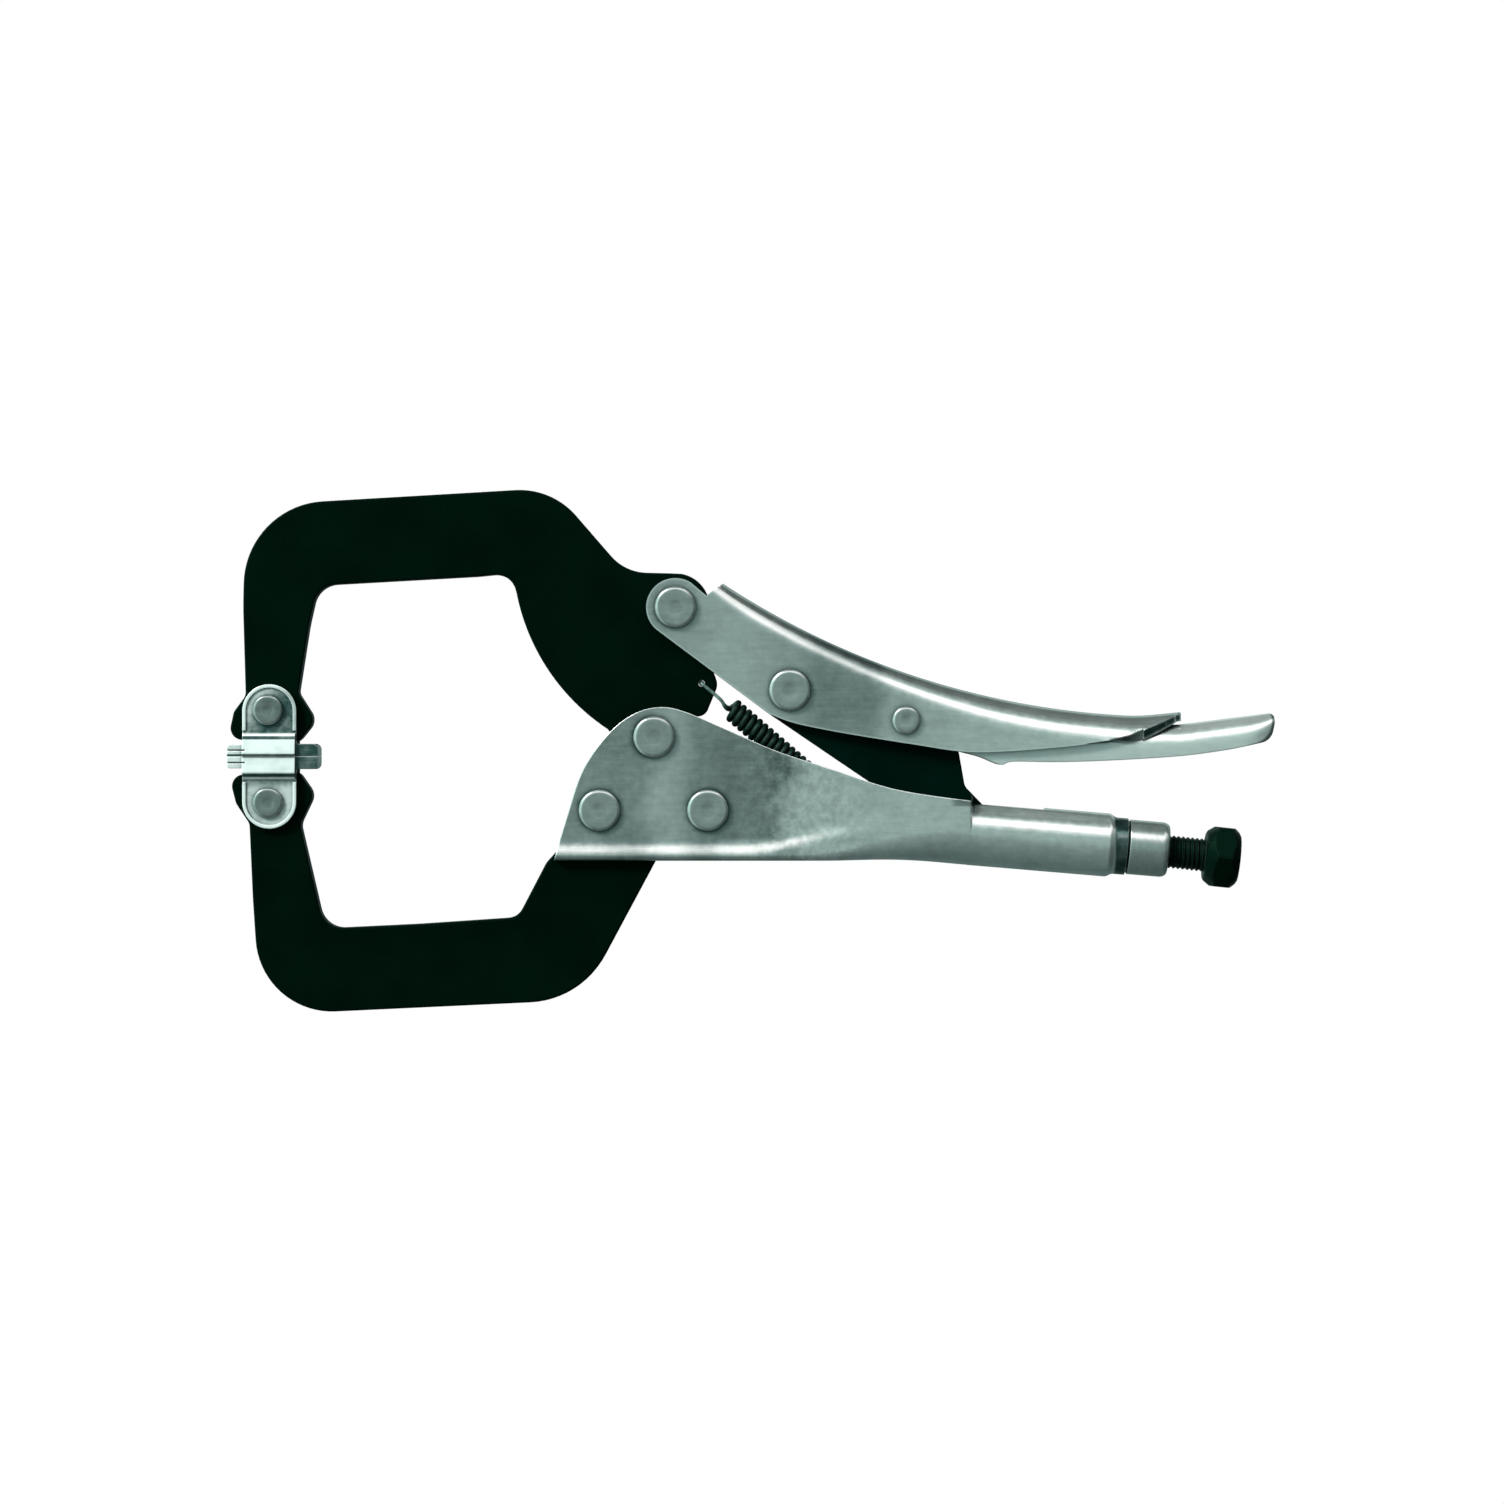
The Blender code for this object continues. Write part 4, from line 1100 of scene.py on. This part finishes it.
def rivet(node, wall, sizes, body, seed, level=0.0):
    """A rivet with two low heads, each with a rounded rim and a dimple, on walls this far from the middle."""
    shank, head, height = sizes
    pivot = centre(node)
    inner = wall + GAP / 2
    outer = inner + height
    shoulder = 0.45 * height
    half = [(inner, shank), (inner, head - 0.15), (inner + 0.15, head), (outer - shoulder, head)]
    for a in spaced(0.3, 1.5, 0.3):
        half.append((outer - shoulder * (1 - math.sin(a)), head - 1.4 * shoulder * (1 - math.cos(a))))
    half += [(outer - 0.02, 0.62 * head), (outer - 0.03, 0.40 * head), (outer - 0.14, 0.30 * head)]
    half += [(outer - 0.17, 0.05 * head)]
    profile = [(-distance, radius) for distance, radius in reversed(half)] + half
    rings = turned_rings(profile, (pivot[0], 0, pivot[1]), (0, 1, 0), RIVET_SIDES)
    made = placed(f"{node}_headed", lofted(rings))
    finished(made, body, node, dull_rivet(f"plating_{node}", pivot, head, seed, level), 30)


def all_rivets():
    wall = handle_half(RELEASE_PIVOT[0] + RELEASE_SIZES[1])
    large = (
        ("main_pivot_rivet", "fixed_handle"),
        ("fixed_jaw_rivet_front", "fixed_handle"),
        ("fixed_jaw_rivet_rear", "fixed_handle"),
        ("handle_pivot_rivet", "upper_handle"),
        ("toggle_pivot_rivet", "upper_handle"),
    )
    for k, (node, body) in enumerate(large):
        rivet(node, CHANNEL_HALF, MAIN_SIZES, body, 21.0 + 2 * k)
    rivet("release_pivot_rivet", wall, RELEASE_SIZES, "upper_handle", 31.0)
    rivet("upper_pad_rivet", PAD_EAR_HALF, PAD_SIZES, "moving_jaw", 33.0, PAD_RIVET_DIMMING)
    rivet("lower_pad_rivet", PAD_EAR_HALF, PAD_SIZES, "fixed_handle", 35.0, PAD_RIVET_DIMMING)


# Spring ------------


def spring_parts():
    """Centre lines of the jaw's hook and of the coil with the tab's hook, their radii, and the direction."""
    hook = Vector((HOOK_HOLE[0], 0, HOOK_HOLE[1]))
    anchor = Vector((SPRING_ANCHOR[0], 0, SPRING_ANCHOR[1]))
    along = (anchor - hook).normalized()
    up = Vector((0, 1, 0)).cross(along)
    length = (anchor - hook).length
    coil_end = length - COIL_END_GAP
    outside = ARM_HALF + 0.1 + HOOK_WIRE_RADIUS
    curl = [(2.4, outside, 0.4), (1.5, outside, 0.2), (0.75, outside, 0.0), (0.12, outside - 0.25, 0.0)]
    through = [(0.0, 3.2, 0.0), (0.0, -3.2, 0.0)]
    bend = [(0.12, 0.25 - outside, 0.0), (0.75, -outside, 0.0), (1.5, -outside, 0.0), (6.5, -outside, 0.0)]
    lead = [(8.5, -3.2, 0.5), (9.7, -0.6, 0.5), (10.3, 1.3, -0.1)]
    first = smooth(curl + through + bend + lead)
    turn_steps = 28
    coil = []
    for k in range(COIL_TURNS * turn_steps + 1):
        a = 2 * math.pi * k / turn_steps + COIL_START_TURN
        distance = COIL_START + (coil_end - COIL_START) * k / (COIL_TURNS * turn_steps)
        coil.append((distance, -COIL_RADIUS * math.cos(a), COIL_RADIUS * math.sin(a)))
    last = smooth(
        [(length - 3.6, 2.2, 1.0), (length - 1.6, 2.0, 0.0), (length, 1.4, 0.0), (length, -1.6, 0.0)]
    )

    def located(path):
        return [hook + along * s + Vector((0, y, 0)) + up * z for s, y, z in path]

    def radius(distance, y):
        if distance < 0.1 and abs(y) < 3.1:
            return HOOK_PLUG_RADIUS
        thickened = between(distance, 7.5, COIL_START, HOOK_WIRE_RADIUS, WIRE_RADIUS)
        return between(distance, coil_end, length - 2.0, thickened, TAB_WIRE_RADIUS)

    upper = first + coil[:3]
    lower = coil[1:] + last
    radii = [[radius(distance, y) for distance, y, _ in path] for path in (upper, lower)]
    return located(upper), located(lower), radii, along


def tension_spring():
    """The coil and its upper hook, both carried on the spring's body."""
    hook_path, coil_path, radii, along = spring_parts()
    hook = placed("spring_hook", lofted(wire(hook_path, radii[0], 16)))
    coil = placed("spring_coil", lofted(wire(coil_path, radii[1], 12)))
    bright = spring_steel("hook_wire", (0.16, 0.23, 0.21), 0.8, 0.35)
    dark = spring_steel("coil_wire", (0.005, 0.016, 0.012), 0.5, 0.42)
    finished(hook, "tension_spring", None, bright)
    finished(coil, "tension_spring", "tension_spring", dark)
    for piece in (hook, coil):
        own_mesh(piece)


# Stage ------------

# The camera faces VIEW_CENTRE squarely from VIEW_DISTANCE, and sees VIEW_WIDTH across the plane VIEW_PLANE.
VIEW_CENTRE = (129.5, 1.2)
VIEW_WIDTH = 402.98
VIEW_DISTANCE = 1300.0
VIEW_PLANE = -3.5
SENSOR = 36.0
FLOOR_HALF = 4000.0
FLOOR_DROP = 1.5


def camera():
    data = bpy.data.cameras.new("camera")
    data.sensor_width = SENSOR
    data.lens = SENSOR * VIEW_DISTANCE / VIEW_WIDTH
    data.clip_end = 20.0
    made = linked("camera", data)
    made.location = (VIEW_CENTRE[0] * MM, (VIEW_PLANE - VIEW_DISTANCE) * MM, VIEW_CENTRE[1] * MM)
    made.rotation_euler = (math.pi / 2, 0, 0)
    bpy.context.scene.camera = made


def floor():
    """A white floor that only the camera sees, so that the soft light alone shapes the metal."""
    mesh = bmesh.new()
    low = CAD_BOX[0][2] / MM - FLOOR_DROP
    corners = [(-1, -1), (1, -1), (1, 1), (-1, 1)]
    mesh.faces.new([mesh.verts.new((x * FLOOR_HALF, y * FLOOR_HALF, low)) for x, y in corners])
    made = placed("floor", mesh)
    look = bpy.data.materials.new("floor_white")
    tree = Nodes(look)
    glow = tree.node("ShaderNodeEmission")
    tree.node("ShaderNodeOutputMaterial", {0: glow.outputs[0]})
    made.data.materials.append(look)
    for kind in ("diffuse", "glossy", "transmission", "shadow"):
        setattr(made, f"visible_{kind}", False)


# Brightness of the studio against height, from straight below to straight above, as (position, level), and
# against the side, from the jaws' end to the handles' end.
FRONT_LEVELS = [(0.0, 0.13), (0.2, 0.15), (0.38, 0.19), (0.5, 0.31), (0.70, 0.40), (0.79, 0.80), (0.86, 2.0)]
FRONT_LEVELS += [(0.92, 1.9), (0.955, 0.55), (0.98, 0.18), (1.0, 0.05)]
BACK_LEVELS = [(0.0, 0.13), (0.4, 0.18), (0.5, 0.31), (0.66, 0.34), (0.73, 0.62), (0.79, 0.50), (0.84, 0.07)]
BACK_LEVELS += [(1.0, 0.05)]
SIDE_LEVELS = [(0.0, 3.2), (0.2, 3.4), (0.33, 1.0), (0.66, 1.0), (0.8, 0.55), (1.0, 0.45)]
SHADE_TINT = (0.66, 1.0, 0.95)


def tinted(levels):
    """The stops in grey, turning to SHADE_TINT below full brightness."""
    found = []
    for position, level in levels:
        white = min(1.0, max(0.0, (level - 0.4) / 0.6))
        found.append((position, tuple(level * (c + (1 - c) * white) for c in SHADE_TINT)))
    return found


def studio():
    """White for the camera; for the metal, a soft box high in front and dim greenish walls elsewhere."""
    world = bpy.data.worlds.new("studio")
    bpy.context.scene.world = world
    room = Nodes(world)

    def share(value):
        return room.node("ShaderNodeMapRange", {"Value": value, 1: -1.0, 2: 1.0}).outputs[0]

    direction = room.node("ShaderNodeTexCoord").outputs["Generated"]
    unit = room.node("ShaderNodeVectorMath", {0: direction}, operation="NORMALIZE").outputs[0]
    axes = room.node("ShaderNodeSeparateXYZ", {0: unit})
    height = share(axes.outputs[2])
    behind = room.span(axes.outputs[1], -0.12, 0.12)
    front = room.ramp(height, tinted(FRONT_LEVELS), "LINEAR")
    back = room.ramp(height, tinted(BACK_LEVELS), "LINEAR")
    sides = room.ramp(share(axes.outputs[0]), SIDE_LEVELS, "LINEAR")
    walls = {0: room.mix(behind, front, back), 1: sides}
    lit = room.node("ShaderNodeVectorMath", walls, operation="MULTIPLY").outputs[0]
    seen = room.node("ShaderNodeLightPath").outputs["Is Camera Ray"]
    glow = room.node("ShaderNodeBackground", {0: room.mix(seen, lit, (1, 1, 1, 1))})
    room.node("ShaderNodeOutputWorld", {0: glow.outputs[0]})


def soft_light(name, place, size, power):
    """An area light aimed at the clamp that lights rough surfaces but leaves no reflection of its own."""
    data = bpy.data.lights.new(name, "AREA")
    data.size = size
    data.energy = power
    data.color = (0.85, 1.0, 0.97)
    made = linked(name, data)
    target = Vector((VIEW_CENTRE[0] * MM, 0, VIEW_CENTRE[1] * MM))
    made.location = target + Vector(place)
    made.rotation_euler = (-Vector(place)).to_track_quat("-Z", "Y").to_euler()
    made.visible_glossy = False


moving_jaw_arm()
fixed_jaw_arm()
fixed_handle_body()
threaded_end_nut()
adjusting_screw()
upper_handle_lever()
toggle_link()
toggle_spacer("toggle_spacer_front", -1)
toggle_spacer("toggle_spacer_back", 1)
release_lever()
tension_spring()
swivel_pad("upper_pad_cap", UPPER_PAD_PIVOT, 1, 0.03, "upper_pad")
swivel_pad("lower_pad_cap", LOWER_PAD_PIVOT, -1, 0, "lower_pad")
all_rivets()
camera()
floor()
studio()
soft_light("key_light", (-0.8, -0.7, 0.6), 0.25, 22.0)
soft_light("rear_fill", (0.4, 0.9, 0.1), 0.8, 6.0)
bpy.context.scene.view_settings.view_transform = "Standard"
